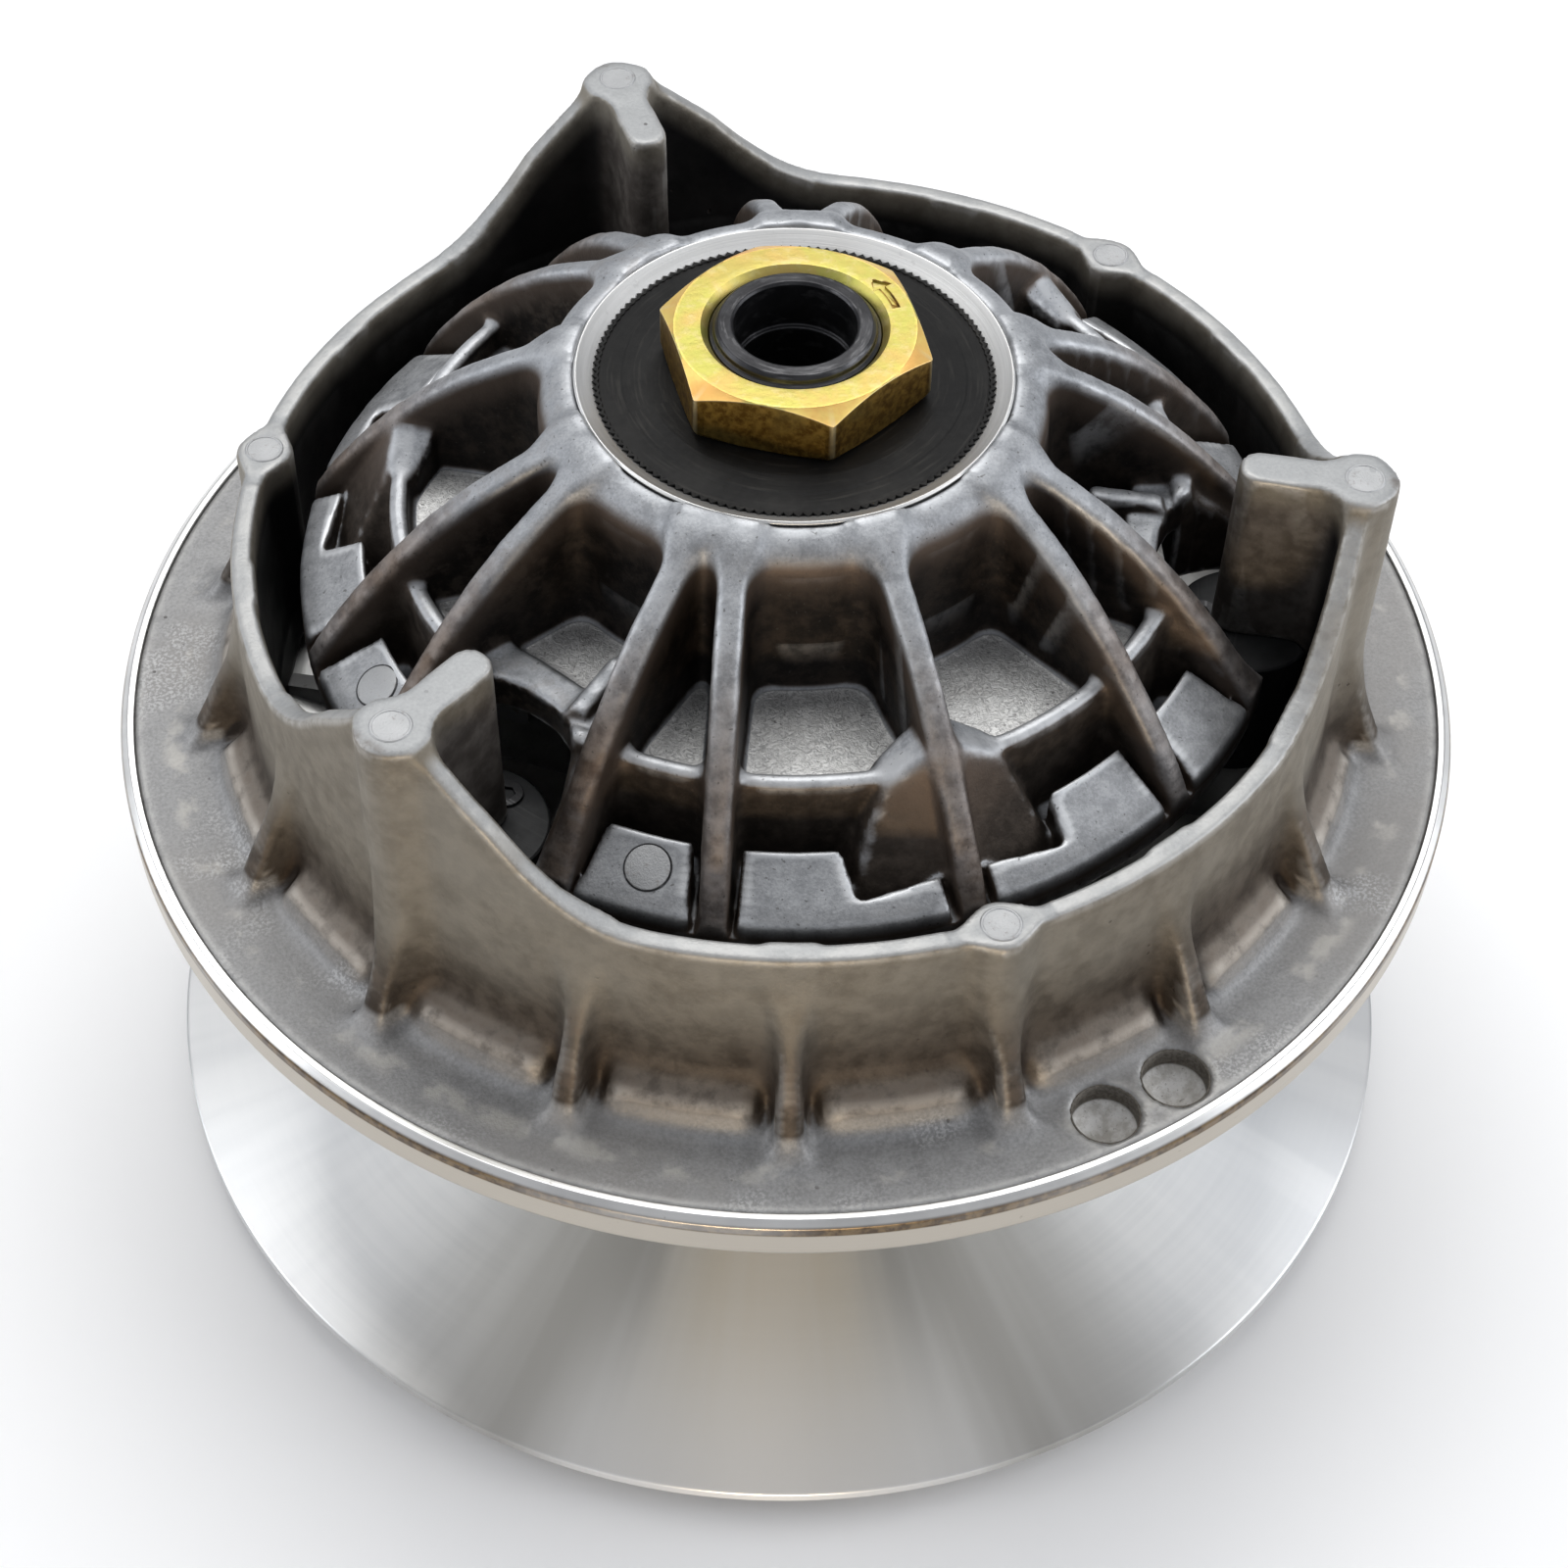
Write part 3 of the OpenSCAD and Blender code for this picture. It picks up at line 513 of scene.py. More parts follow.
def mat_cone():
    """Fine turned face: the grooves run round the shaft, so lights spread into wedges that point at it; wedges of
    painted reflection facing the camera are added to the colour.
    """
    g = G("turned_cone")
    n2 = g.noise(26, 3, 0.5); n3 = g.noise(420, 4, 0.6)
    rings = g.noise(1.0, 3, 0.55, vec=g.polar(900, 0.15, 60)); fine = g.noise(1.0, 2, 0.5, vec=g.polar(6400, 0.15, 900))
    col = g.mix(g.step(rings, 0.30, 0.70), (0.660, 0.665, 0.668), (0.705, 0.708, 0.708))
    col = g.mix(g.step(n2, 0.45, 0.75, 0, 0.3), col, (0.62, 0.615, 0.60))
    col = g.mix(g.m2('MULTIPLY', g.step(n3, 0.68, 0.78), 0.18), col, (0.42, 0.41, 0.39))
    # painted reflection in wedges round the shaft, set by the angle to the camera's side, warmest at that side
    camera_side_angle = math.radians(270 - 21.09)
    c = g.m2('DIVIDE', g.m2('ADD', g.m2('MULTIPLY', g.x, math.cos(camera_side_angle)), g.m2('MULTIPLY', g.y, math.sin(camera_side_angle))), g.radius())
    wob = g.noise(1.0, 3, 0.6, vec=g.polar(6, 7.0, 0))
    c = g.m2('ADD', c, g.m2('MULTIPLY', g.m2('SUBTRACT', wob, 0.5), 0.03))
    col = g.mix(g.m2('MULTIPLY', g.step(c, 0.70, 0.93), g.step(c, 0.999, 0.955)), col, (0.50, 0.485, 0.455))
    col = g.mix(g.step(c, 0.955, 0.992, 0, 0.8), col, (0.80, 0.725, 0.600))
    col = g.mix(g.step(c, 0.72, 0.40, 0, 0.8), col, (0.56, 0.57, 0.58))
    col = g.mix(g.m2('MULTIPLY', g.step(wob, 0.40, 0.64), 0.22), col, (0.86, 0.855, 0.84))
    # painted highlight: near-white in the wedge facing the camera, stronger towards the rim
    col = g.mix(g.m2('MULTIPLY', g.step(c, 0.90, 0.97), g.step(g.radius(), 0.066, 0.102, 0, 0.85)), col, (0.97, 0.955, 0.93))
    ro = g.m2('ADD', g.m2('MULTIPLY', fine, 0.05), g.m2('ADD', 0.27, g.m2('MULTIPLY', n2, 0.06)))
    m = g.done(col, ro, 1.0, g.bump(fine, 0.00002, 0.2), 0.5, 0.80, True)
    g.b.inputs["Anisotropic Rotation"].default_value = 0.25
    return m


def mat_turned(name, a, b, rough=0.26, groove=5200, aniso=0.75, stain=(0.30, 0.27, 0.24), amt=0.25):
    g = G(name)
    n1 = g.noise(1.0, 4, 0.6, vec=g.polar(900, 1.2, 900)); n2 = g.noise(55, 5, 0.6); n3 = g.noise(700, 4, 0.6)
    fine = g.noise(1.0, 2, 0.5, vec=g.polar(groove, 0.6, groove))
    col = g.mix(g.step(n1, 0.30, 0.70), a, b)
    col = g.mix(g.m2('MULTIPLY', g.step(n2, 0.50, 0.74), amt), col, stain)
    col = g.mix(g.m2('MULTIPLY', g.step(n3, 0.64, 0.74), amt), col, tuple(c * 0.45 for c in a))
    ro = g.m2('ADD', g.m2('MULTIPLY', fine, 0.16), g.m2('ADD', rough - 0.08, g.m2('MULTIPLY', n2, 0.10)))
    return g.done(col, ro, 1.0, g.bump(fine, 0.00006, 0.35), 0.5, aniso, True)


def mat_dark(name, a, b, rough=0.42, metal=0.85, turned_marks=True, scuff=(0.16, 0.16, 0.165)):
    g = G(name)
    n1 = g.noise(120, 5, 0.6); n2 = g.noise(1.0, 3, 0.6, vec=g.polar(1500, 2.2, 600)); n3 = g.noise(900, 4, 0.65)
    col = g.mix(g.step(n1, 0.35, 0.68), a, b)
    col = g.mix(g.m2('MULTIPLY', g.step(n2, 0.52, 0.72), 0.55), col, scuff)
    col = g.mix(g.m2('MULTIPLY', g.step(n3, 0.62, 0.72), 0.45), col, tuple(c * 1.7 for c in b))
    ro = g.m2('ADD', rough - 0.06, g.m2('MULTIPLY', n3, 0.18))
    h = g.m2('ADD', g.m2('MULTIPLY', n2, 0.7 if turned_marks else 0.1), g.m2('MULTIPLY', n3, 0.35))
    return g.done(col, ro, metal, g.bump(h, 0.00012, 0.4), 0.5)


def mat_zinc():
    g = G("yellow_zinc")
    up = g.attr("up")
    n1 = g.noise(95, 4, 0.6, 0.5); n2 = g.noise(500, 5, 0.65); n3 = g.noise(2600, 3, 0.6)
    grain = g.noise(850, 4, 0.65)
    top = g.mix(g.step(n1, 0.36, 0.62), (0.52, 0.375, 0.120), (0.455, 0.430, 0.105))
    top = g.mix(g.step(n2, 0.48, 0.66, 0, 0.45), top, (0.62, 0.52, 0.27))
    top = g.mix(g.step(n3, 0.56, 0.70, 0, 0.30), top, (0.34, 0.25, 0.07))
    top = g.mix(g.step(g.noise(60, 2, 0.5), 0.57, 0.70, 0, 0.5), top, (0.37, 0.38, 0.085))
    top = g.mix(g.attr("cham"), top, g.mix(g.step(n1, 0.36, 0.66), (0.90, 0.52, 0.16), (0.95, 0.72, 0.22)))
    side = g.mix(g.step(grain, 0.36, 0.66), (0.115, 0.060, 0.010), (0.27, 0.165, 0.035))
    side = g.mix(g.step(n1, 0.50, 0.72, 0, 0.5), side, (0.20, 0.15, 0.045))
    col = g.mix(g.step(up, 0.15, 0.55), side, top)
    e = g.attr("edge")
    col = g.mix(g.m2('MULTIPLY', e, 0.42), col, (0.85, 0.74, 0.46))
    dirt = g.m2('MULTIPLY', g.step(n2, 0.66, 0.74), 0.35)
    col = g.mix(dirt, col, (0.20, 0.14, 0.05))
    ro = g.m2('ADD', 0.30, g.m2('MULTIPLY', n2, 0.22))
    return g.done(col, ro, 0.92, g.bump(g.m2('ADD', g.m2('MULTIPLY', n2, 0.5), g.m2('MULTIPLY', grain, 0.5)), 0.00018, 0.4), 0.5)


def mat_plain(name, a, b, rough=0.4, metal=1.0, scale=300, bump=0.0001, spots=None):
    g = G(name)
    n1 = g.noise(scale * 0.25, 4, 0.6); n2 = g.noise(scale * 2, 5, 0.65); n3 = g.noise(scale * 8, 3, 0.6)
    col = g.mix(g.step(n1, 0.34, 0.68), a, b)
    col = g.mix(g.m2('MULTIPLY', g.step(n2, 0.58, 0.70), 0.5), col, spots or tuple(c * 0.5 for c in a))
    ro = g.m2('ADD', rough - 0.08, g.m2('MULTIPLY', n2, 0.20))
    return g.done(col, ro, metal, g.bump(g.m2('ADD', g.m2('MULTIPLY', n2, 0.5), g.m2('MULTIPLY', n3, 0.5)), bump, 0.45), 0.5)


def mat_bore():
    """Drilled cup: a bright scratched cone under a dull brown wall, the wall's dark brown being painted shade."""
    g = G("bored_metal")
    n1 = g.noise(420, 5, 0.65); n2 = g.noise(1700, 4, 0.6); n3 = g.noise(5200, 3, 0.6)
    col = g.mix(g.step(n1, 0.36, 0.62), (0.62, 0.60, 0.56), (0.90, 0.89, 0.87))
    col = g.mix(g.step(n2, 0.60, 0.70, 0, 0.6), col, (0.24, 0.21, 0.18))
    # painted shade: the drilled wall above the cone is coloured dark brown
    wall = g.mix(g.step(n2, 0.35, 0.65), (0.085, 0.074, 0.060), (0.165, 0.148, 0.124))
    col = g.mix(g.step(g.z, 0.0795, 0.0801), col, wall)
    ro = g.m2('ADD', 0.42, g.m2('MULTIPLY', n2, 0.22))
    return g.done(col, ro, 0.25, g.bump(g.m2('ADD', g.m2('MULTIPLY', n1, 0.6), g.m2('MULTIPLY', n3, 0.4)), 0.00035, 0.6), 0.5)


M_CUP, M_FLANGE = mat_cup(), mat_flange()
M_CONE, M_RIMR = mat_cone(), mat_rim()
M_HUBR = mat_turned("turned_hub_ring", (0.62, 0.62, 0.61), (0.72, 0.72, 0.71), 0.42, 5200, 0.3, (0.45, 0.43, 0.40), 0.25)
M_BORE = mat_bore()
M_BACK = mat_plain("cast_back", (0.30, 0.30, 0.30), (0.44, 0.44, 0.43), 0.55, 0.8, 250, 0.0003, (0.16, 0.14, 0.12))
M_INS = mat_dark("black_insert", (0.0062, 0.0062, 0.0063), (0.0120, 0.0118, 0.0114), 0.50, 0.75, True, (0.030, 0.0285, 0.026))
M_SHAFT = mat_dark("black_shaft", (0.022, 0.022, 0.024), (0.050, 0.050, 0.053), 0.30, 0.8)
M_NUT = mat_zinc()
M_SHOE = mat_dark("shoe_steel", (0.014, 0.0145, 0.0155), (0.034, 0.035, 0.036), 0.60, 0.5, False, (0.060, 0.060, 0.060))
M_SCREW = mat_dark("screw_black", (0.020, 0.020, 0.021), (0.045, 0.045, 0.047), 0.38, 0.85, False)
M_GROUND = mat_turned("ground_steel", (0.50, 0.50, 0.52), (0.66, 0.66, 0.67), 0.25, 4200, 0.45, (0.32, 0.28, 0.22), 0.35)
M_SPRING = mat_plain("spring_wire", (0.050, 0.055, 0.070), (0.10, 0.105, 0.12), 0.33, 0.9, 260, 0.0001, (0.20, 0.12, 0.07))
M_BRONZE = mat_plain("bushing_bronze", (0.36, 0.22, 0.08), (0.55, 0.37, 0.16), 0.36, 1.0, 260, 0.0001)
M_WEIGHT = mat_plain("weight_steel", (0.20, 0.20, 0.21), (0.34, 0.34, 0.35), 0.42, 0.95, 260, 0.00015, (0.16, 0.11, 0.07))
M_NYLON = mat_plain("roller_nylon", (0.36, 0.28, 0.17), (0.52, 0.43, 0.28), 0.48, 0.0, 300, 0.00012, (0.24, 0.17, 0.09))
M_MARK = mat_plain("boss_mark", (0.36, 0.365, 0.37), (0.45, 0.455, 0.46), 0.52, 0.75, 420, 0.00025, (0.22, 0.20, 0.18))

# ------------------------------------------------------------------ sliding sheave
WALL_A = [0, 2.6, 5.5, 8, 11, 14, 16, 18, 20, 22, 24, 26, 30, 60]
WALL_Z = [137.5, 137.3, 134.0, 131.0, 127.5, 123.0, 120.6, 118.5, 116.9, 115.8, 115.15, 114.9, 114.8, 114.8]
da = np.linspace(0, 60, 601)
wz = np.interp(da, WALL_A, WALL_Z)
ker = np.hanning(17); ker /= ker.sum()
wz = np.convolve(np.pad(wz, 8, mode="reflect"), ker, mode="valid")


def wall_top(a):
    return np.interp(a, da, wz)


def sheave_field():
    nt = 900
    r = np.arange(62.0, 101.6, 0.62); z = np.arange(75.0, 140.2, 0.62)
    a = np.radians(-60 + np.arange(nt // 3) * 360 / nt)
    R = r[:, None, None].astype(np.float32); A = np.abs(a)[None, :, None].astype(np.float32); Z = z[None, None, :].astype(np.float32)
    D = np.degrees(A)
    zt = wall_top(D); slope = np.gradient(wz, da) / (np.radians(1) * 80.5)
    cs = 1 / np.sqrt(1 + np.interp(D, da, slope) ** 2)
    base = 83.2
    # wall, a little thicker towards its foot
    half = 1.68 + np.clip(112 - Z, 0, 40) * 0.012
    F = smax(np.abs(R - 80.45) - half, (Z - zt) * cs, 1.1)
    F = np.maximum(F, 75.6 - Z)
    # bosses
    U, V = R * np.cos(A), R * np.sin(A)
    um, vm = R * np.cos(np.radians(60) - A), R * np.sin(np.radians(60) - A)
    boss = smax(np.hypot(U - 80.75, V) - 5.0, Z - 137.5, 0.9)
    F = smin(F, np.maximum(boss, 79 - Z), 2.6)
    small = smax(np.hypot(um - 80.35, vm) - 4.25, Z - 114.8, 0.9)
    F = smin(F, np.maximum(small, 79 - Z), 2.4)
    # fin under each tower, with a rounded inner end
    fin = np.where(U < 66.4, np.hypot(U - 66.4, V), np.where(U > 80, np.hypot(U - 80, V), V)) - (3.05 + np.clip(137.5 - Z, 0, 30) * 0.012)
    fin = smax(fin, Z - 137.5, 0.9)
    fin = np.maximum(fin, 107.0 - Z)
    F = smin(F, fin, 2.2)
    # flange top
    plate = np.maximum(np.maximum(Z - base, np.maximum(76.8, 76.8 + (R - 98.0) * 0.9) - Z), np.maximum(79.6 - R, R - 100.42))
    F = smin(F, plate, 3.2)
    # gussets every 20 degrees
    k = np.degrees(A) % 20.0
    w = np.radians(np.minimum(k, 20 - k))
    gv = R * np.sin(w)
    tall = (np.degrees(A) < 10)
    z1 = np.where(tall, 107.5, 104.0)
    ln = 23.0
    nx, nz_ = (z1 - 84.2), 9.2
    L = np.hypot(nx, nz_)
    g = ((R - 82.4) * nx + (Z - z1) * nz_) / L
    gus = smax(smax(gv - (1.45 + np.clip(z1 - Z, 0, 30) * 0.030), g, 1.5), R - 93.0, 1.5)
    F = smin(F, np.maximum(np.maximum(gus, 80 - Z), 80.6 - R), 3.4)
    # a soft plinth at the wall's foot between the gussets
    side = R * np.sin(np.radians(2.9) - w)
    rise = (Z - (86.3 + np.clip(88.2 - R, 0, 9) * 0.50)) * 0.89
    pad = smax(smax(rise, R - 87.9, 3.0), side, 3.0)
    F = smin(F, np.maximum(np.maximum(pad, 80 - Z), 80.6 - R), 2.6)
    # tops stay flat where the bosses, fins and wall run together
    F = smax(F, Z - 137.5, 0.5)
    F = np.where(np.hypot(um - 80.35, vm) < 7.5, smax(F, Z - 114.8, 0.5), F)
    F = np.maximum(F, R - 100.42)
    F = np.tile(F.astype(np.float32), (1, 3, 1))
    t0 = math.radians(30.0)
    # two balancing holes drilled into the flange's top, with a drill-point bottom
    bores = []
    for ang in (277.6, 284.8):
        cx, cy = 94.3 * math.cos(math.radians(ang)), 94.3 * math.sin(math.radians(ang))
        j = int(round((ang - 30) / (360 / nt))); js = slice(j - 14, j + 15)
        th = t0 + np.arange(nt)[js] * 2 * math.pi / nt
        rr = np.hypot(R * np.cos(th)[None, :, None] - cx, R * np.sin(th)[None, :, None] - cy)
        F[:, js, :] = smax(F[:, js, :], 4.82 - rr, 0.3)
        bores.append((cx, cy))
    v, f, cells = nets(F, r, t0, z)
    v = relax(v, f)
    edge = spread(filled(F, 2, cells), f, 4); cav = spread(filled(F, 7, cells), f, 6)
    R_ = np.hypot(v[:, 0], v[:, 1]); th = (np.degrees(np.arctan2(v[:, 1], v[:, 0])) - 90) % 120
    dd = np.minimum(th, 120 - th)
    depth = np.clip((wall_top(dd) - v[:, 2]) / 60, 0, 1)
    n = normals(v, f)
    soft = np.clip((100.2 - R_) / 1.0, 0, 1)
    v = v + n * ((vnoise(v, 0.22, 1) * 0.05 + vnoise(v, 0.8, 2) * 0.025) * soft)[:, None]
    V_ = R_ * np.sin(np.radians(dd))
    fin = np.clip((5.4 - V_) / 1.5, 0, 1) * np.clip((78.2 - R_) / 1.5, 0, 1)
    bore = np.zeros(len(v))
    for cx, cy in bores:
        bore = np.maximum(bore, np.clip((5.2 - np.hypot(v[:, 0] - cx, v[:, 1] - cy)) / 0.3, 0, 1) * 0.35 * (v[:, 2] < 83.0))
    return v, f, dict(edge=edge, cav=cav, depth=depth, up=n[:, 2], fin=fin, bore=bore)


v, f, at = sheave_field()
put("sheave_casting", v, f, M_FLANGE, "sliding_sheave", "sliding_flange", at)
zl = lambda r: 76.7 - (RIM - r) * SL
lathe("sheave_turned", [(25.8, 60.4), (27.2, zl(27.2)), (RIM, 76.7, 0.5), (RIM, 82.5, 0.7), (101.4, 83.5, 0.5), (100.4, 83.5, 0.15), (100.4, 79.2, 0), (98.2, 77.0, 0), (97.5, 76.6, 0),
      (80.2, 76.2, 0), (78.9, zl(78.8) + 5, 0), (33, zl(33) + 5, 2), (30.5, 68, 1.5), (30.5, 111), (29.5, 112), (19.5, 112, 1), (19.5, 129.5, 0.6), (17.3, 129.5, 0.4),
      (17.3, 110), (25.8, 110)], M_RIMR, "sliding_sheave", "sliding_flange", n=320, rad=0.4)
cups = []
for a in (277.6, 284.8):
    vv, ff = lathe_data([(0.01, 77.3), (4.6, 79.7, 0), (4.66, 79.9, 0.1), (4.66, 82.9, 0), (4.95, 82.9, 0), (4.95, 76.85, 0), (0.01, 76.85, 0)], 96, 0.1, 3)
    cups.append((vv + np.array([94.3 * math.cos(math.radians(a)), 94.3 * math.sin(math.radians(a)), 0]), ff))
v, f = joined(cups)
put("bored_cups", v, f, M_BORE, "sliding_sheave", "sliding_flange")
marks = []
for a in TOWER:
    vv, ff = lathe_data([(0.02, 137.0), (2.9, 137.0, 0), (2.9, 137.5, 0.05), (2.7, 137.64, 0.05), (2.5, 137.64, 0.05), (2.42, 137.54, 0.03), (0.05, 137.54, 0), (0.01, 137.54, 0)], 40, 0.1, 2)
    marks.append((vv + np.array([80.75 * math.cos(math.radians(a)), 80.75 * math.sin(math.radians(a)), 0]), ff))
for a in MID:
    vv, ff = lathe_data([(0.02, 114.3), (2.9, 114.3, 0), (2.9, 114.8, 0.05), (2.7, 114.94, 0.05), (2.5, 114.94, 0.05), (2.42, 114.84, 0.03), (0.05, 114.84, 0), (0.01, 114.84, 0)], 40, 0.1, 2)
    marks.append((vv + np.array([80.35 * math.cos(math.radians(a)), 80.35 * math.sin(math.radians(a)), 0]), ff))
v, f = joined(marks)
put("boss_marks", v, f, M_MARK, "sliding_sheave", "sliding_flange")
ped = []
for a in TOWER:
    vv, ff = lathe_data([(0.02, 71), (10.5, 71, 0), (10.5, 84.9, 0.6), (0.02, 84.9, 0)], 64, 0.5, 3)
    ped.append((vv + np.array([68 * math.cos(math.radians(a)), 68 * math.sin(math.radians(a)), 0]), ff))
v, f = joined(ped)
put("shoe_pedestals", v, f, M_BACK, "sliding_sheave", "sliding_flange")


def rails(bm):
    for a in MID:
        for s in (-1, 1):
            y0, y1 = s * 12.5 - 1.5, s * 12.5 + 1.5
            m = Matrix.Rotation(math.radians(a), 4, 'Z')
            o = [(32, zl(32) + 3.5), (77, zl(77) + 3.5), (77, 78), (32, 78)]
            lo = [bm.verts.new(m @ Vector((x, y0, z))) for x, z in o]; hi = [bm.verts.new(m @ Vector((x, y1, z))) for x, z in o]
            bm.faces.new(lo); bm.faces.new(hi[::-1])
            for i in range(4):
                bm.faces.new((lo[i], hi[i], hi[(i + 1) % 4], lo[(i + 1) % 4]))


bevelled("weight_rails", rails, M_BACK, "sliding_sheave", "sliding_flange", 0.5)

# ------------------------------------------------------------------ ramp cup
RIB_R = [28, 34, 37, 42, 48, 54, 60, 65, 70, 72.6, 80]
RIB_Z = [143.9, 143.2, 142.1, 139.5, 136.0, 131.4, 125.6, 120.0, 113.5, 109.2, 96]
rr_ = np.linspace(28, 80, 521)
rz_ = np.interp(rr_, RIB_R, RIB_Z)
k2 = np.hanning(41); k2 /= k2.sum()
rz_ = np.convolve(np.pad(rz_, 20, mode="edge"), k2, mode="valid")


def cup_field():
    nt = 600
    r = np.arange(27.6, 73.8, 0.53); z = np.arange(103.2, 147.7, 0.53)
    a = np.radians(-60 + np.arange(nt // 3) * 360 / nt)
    R = r[:, None, None].astype(np.float32); A = np.abs(a)[None, :, None].astype(np.float32); Z = z[None, None, :].astype(np.float32)
    U, V = R * np.cos(A), R * np.sin(A)                       # tower's frame
    m = np.radians(60) - A
    u, w = R * np.cos(m), R * np.sin(m)                       # single rib's frame, folded
    top = np.interp(R, rr_, rz_)
    tslope = np.interp(R, rr_, np.gradient(rz_, rr_)); cs = 1 / np.sqrt(1 + tslope ** 2)
    cut = (Z - top) * cs

    pol = lambda q, t: (q * math.cos(math.radians(t)), q * math.sin(math.radians(t)))
    LINES = ((pol(34, 33.6), pol(72.5, 28.4)), (pol(34, 43.4), pol(72.5, 46.6)), ((20, 0), (80, 0)))

    def away(u, w, line):
        P0, P1 = line
        d = np.array(P1) - np.array(P0); d = d / np.linalg.norm(d)
        return np.abs((u - P0[0]) * d[1] - (w - P0[1]) * d[0])
    gaps = [away(u, w, q) for q in LINES]
    thin = 1.95 + np.clip(top - Z, 0, 25) * 0.020
    ribs = smax(gaps[2] - thin, cut, 1.5)
    for q in gaps[:2]:
        ribs = smin(ribs, smax(q - thin, cut, 1.5), 2.4)
    collar = smax(R - 36.3 - (136 - Z) * 0.035, Z - 143.85, 5.5)
    ribs = np.maximum(ribs, R - 72.7)
    ribs = np.maximum(ribs, 30 - R)
    # channel for the guide shoe, and its raised rim
    ch = smax(53.8 - U, V - (11.0 + np.clip(U - 60, 0, 20) * 0.24), 11.0)
    rim_top = np.interp(U, [48, 54, 58, 62, 66, 70, 74], [121.0, 120.6, 119.6, 116.6, 113.2, 110.4, 108.8])
    rim = smax(ch - 5.4, (Z - rim_top) * 0.85, 1.5)
    # ring rib
    ring = smax(np.abs(R - 57.1) - (1.35 + np.clip(122.3 - Z, 0, 20) * 0.02), Z - 122.3, 1.3)
    # bracket round the single rib: two roof facets, and flared panels below them
    brk = smax(0.824 * u + 0.306 * w + 0.476 * Z - 108.9, 0.913 * w + 0.408 * Z - 57.54, 1.0)
    brk = smax(brk, (Z - (126.0 - np.maximum(w - 2.1, 0) * 0.62)) / 1.177, 0.9)
    brk = smax(brk, (52.2 + np.maximum(w - 2.1, 0) * 0.27 - u) / 1.036, 0.9)
    # ledge with a lip, cut back round the single rib
    lz = 114.0 - (R - 63) * 0.51 + np.clip(63.9 - R, 0, 1.2) * 0.45
    ledge = smax(smax(62.7 - R, R - 72.6, 0.8), (Z - lz) * 0.88, 0.9)
    notch = smax(u - 67.4, w - 15.0, 1.2)
    ledge = smax(ledge, -notch, 1.0)
    ledge = smax(ledge, 3.25 - np.minimum(np.minimum(gaps[0], gaps[1]), gaps[2]), 0.7)
    low = np.maximum(np.maximum(Z - 106.4, R - 72.4), 56.5 - R)
    floor = np.maximum(Z - 118.4, R - 57.3)
    F = smin(collar, ribs, 4.2)
    F = smin(F, floor, 1.6)
    F = smin(F, low, 2.0)
    F = smin(F, ring, 2.0)
    F = smin(F, rim, 2.2)
    F = smin(F, brk, 1.0)
    F = smin(F, ledge, 0.9)
    # underside cut flat: at 115 inside the ring rib, at 104 further out; a short web from the floor up to each
    # channel's rim, off to one side, is added after the carve
    F = np.maximum(F, np.where(R < 56.6, 115.0 - Z, 104.0 - Z))
    # carve
    F = smax(F, -ch, 1.0)
    F = np.maximum(F, R - 72.75)
    F = smax(F, 30.95 - R, 0.5)
    F = np.concatenate([F] * 3, axis=1).astype(np.float32)
    t0 = math.radians(30.0)
    th = t0 + np.arange(nt) * 2 * math.pi / nt
    for ta in TOWER:
        b = th - math.radians(ta + 7.0)
        uu = R * np.cos(b)[None, :, None]; vv = R * np.sin(b)[None, :, None]
        web = np.hypot(np.clip(44.5 - uu, 0, 9), vv) - 1.5
        web = smax(smax(web, uu - 54, 0.8), Z - (123.6 - (uu - 44) * 0.12), 1.2)
        web = np.where(np.cos(b)[None, :, None] > 0, np.maximum(web, 116 - Z), 9)
        F = smin(F, web.astype(np.float32), 1.3)
    v, f, cells = nets(F, r, t0, z)
    v = relax(v, f)
    edge = spread(filled(F, 2, cells), f, 4); cav = spread(filled(F, 8, cells), f, 6)
    R_ = np.hypot(v[:, 0], v[:, 1])
    n = normals(v, f)
    depth = np.clip((np.interp(R_, rr_, rz_) - v[:, 2]) / 25, 0, 1)
    mm = np.radians(np.abs((np.degrees(np.arctan2(v[:, 1], v[:, 0])) - 30 + 60) % 120 - 60))
    near = np.min([away(R_ * np.cos(mm), R_ * np.sin(mm), q) for q in LINES], axis=0)
    rib = np.clip((3.0 - near) / 0.8, 0, 1)
    soft = np.clip((R_ - 31.2) / 1.0, 0, 1)
    v = v + n * ((vnoise(v, 0.24, 3) * 0.06 + vnoise(v, 0.9, 4) * 0.03) * soft)[:, None]
    return v, f, dict(edge=edge, cav=cav, depth=depth, up=n[:, 2], rib=rib)


v, f, at = cup_field()
put("cup_casting", v, f, M_CUP, "drive_shaft_group", "ramp_cup", at)
# each cup mark is a flat disc with a thin black ring round it; the black ring is painted shade, a dark piece where the
# groove round the disc would lie in shadow
discs, rings = [], []
for a, rm in ((233.2, 67.0), (188.5, 66.5)):
    tl = math.atan(0.51)
    dr = np.array([[math.cos(tl), 0, math.sin(tl)], [0, 1, 0], [-math.sin(tl), 0, math.cos(tl)]])
    ca, sa = math.cos(math.radians(a)), math.sin(math.radians(a))
    rz = np.array([[ca, -sa, 0], [sa, ca, 0], [0, 0, 1]])
    for out, prof in ((discs, [(0.01, -0.5), (3.12, -0.5, 0), (3.12, 0.15, 0.04), (2.95, 0.19, 0), (0.05, 0.19, 0), (0.01, 0.19, 0)]),
                      (rings, [(3.12, -0.5), (3.36, -0.5, 0), (3.36, 0.11, 0.03), (3.12, 0.11, 0.03)])):
        vv, ff = lathe_data(prof, 56, 0.1, 2)
        vv = vv @ dr.T @ rz.T + np.array([rm * ca, rm * sa, 114.0 - (rm - 63) * 0.51])
        out.append((vv, ff))
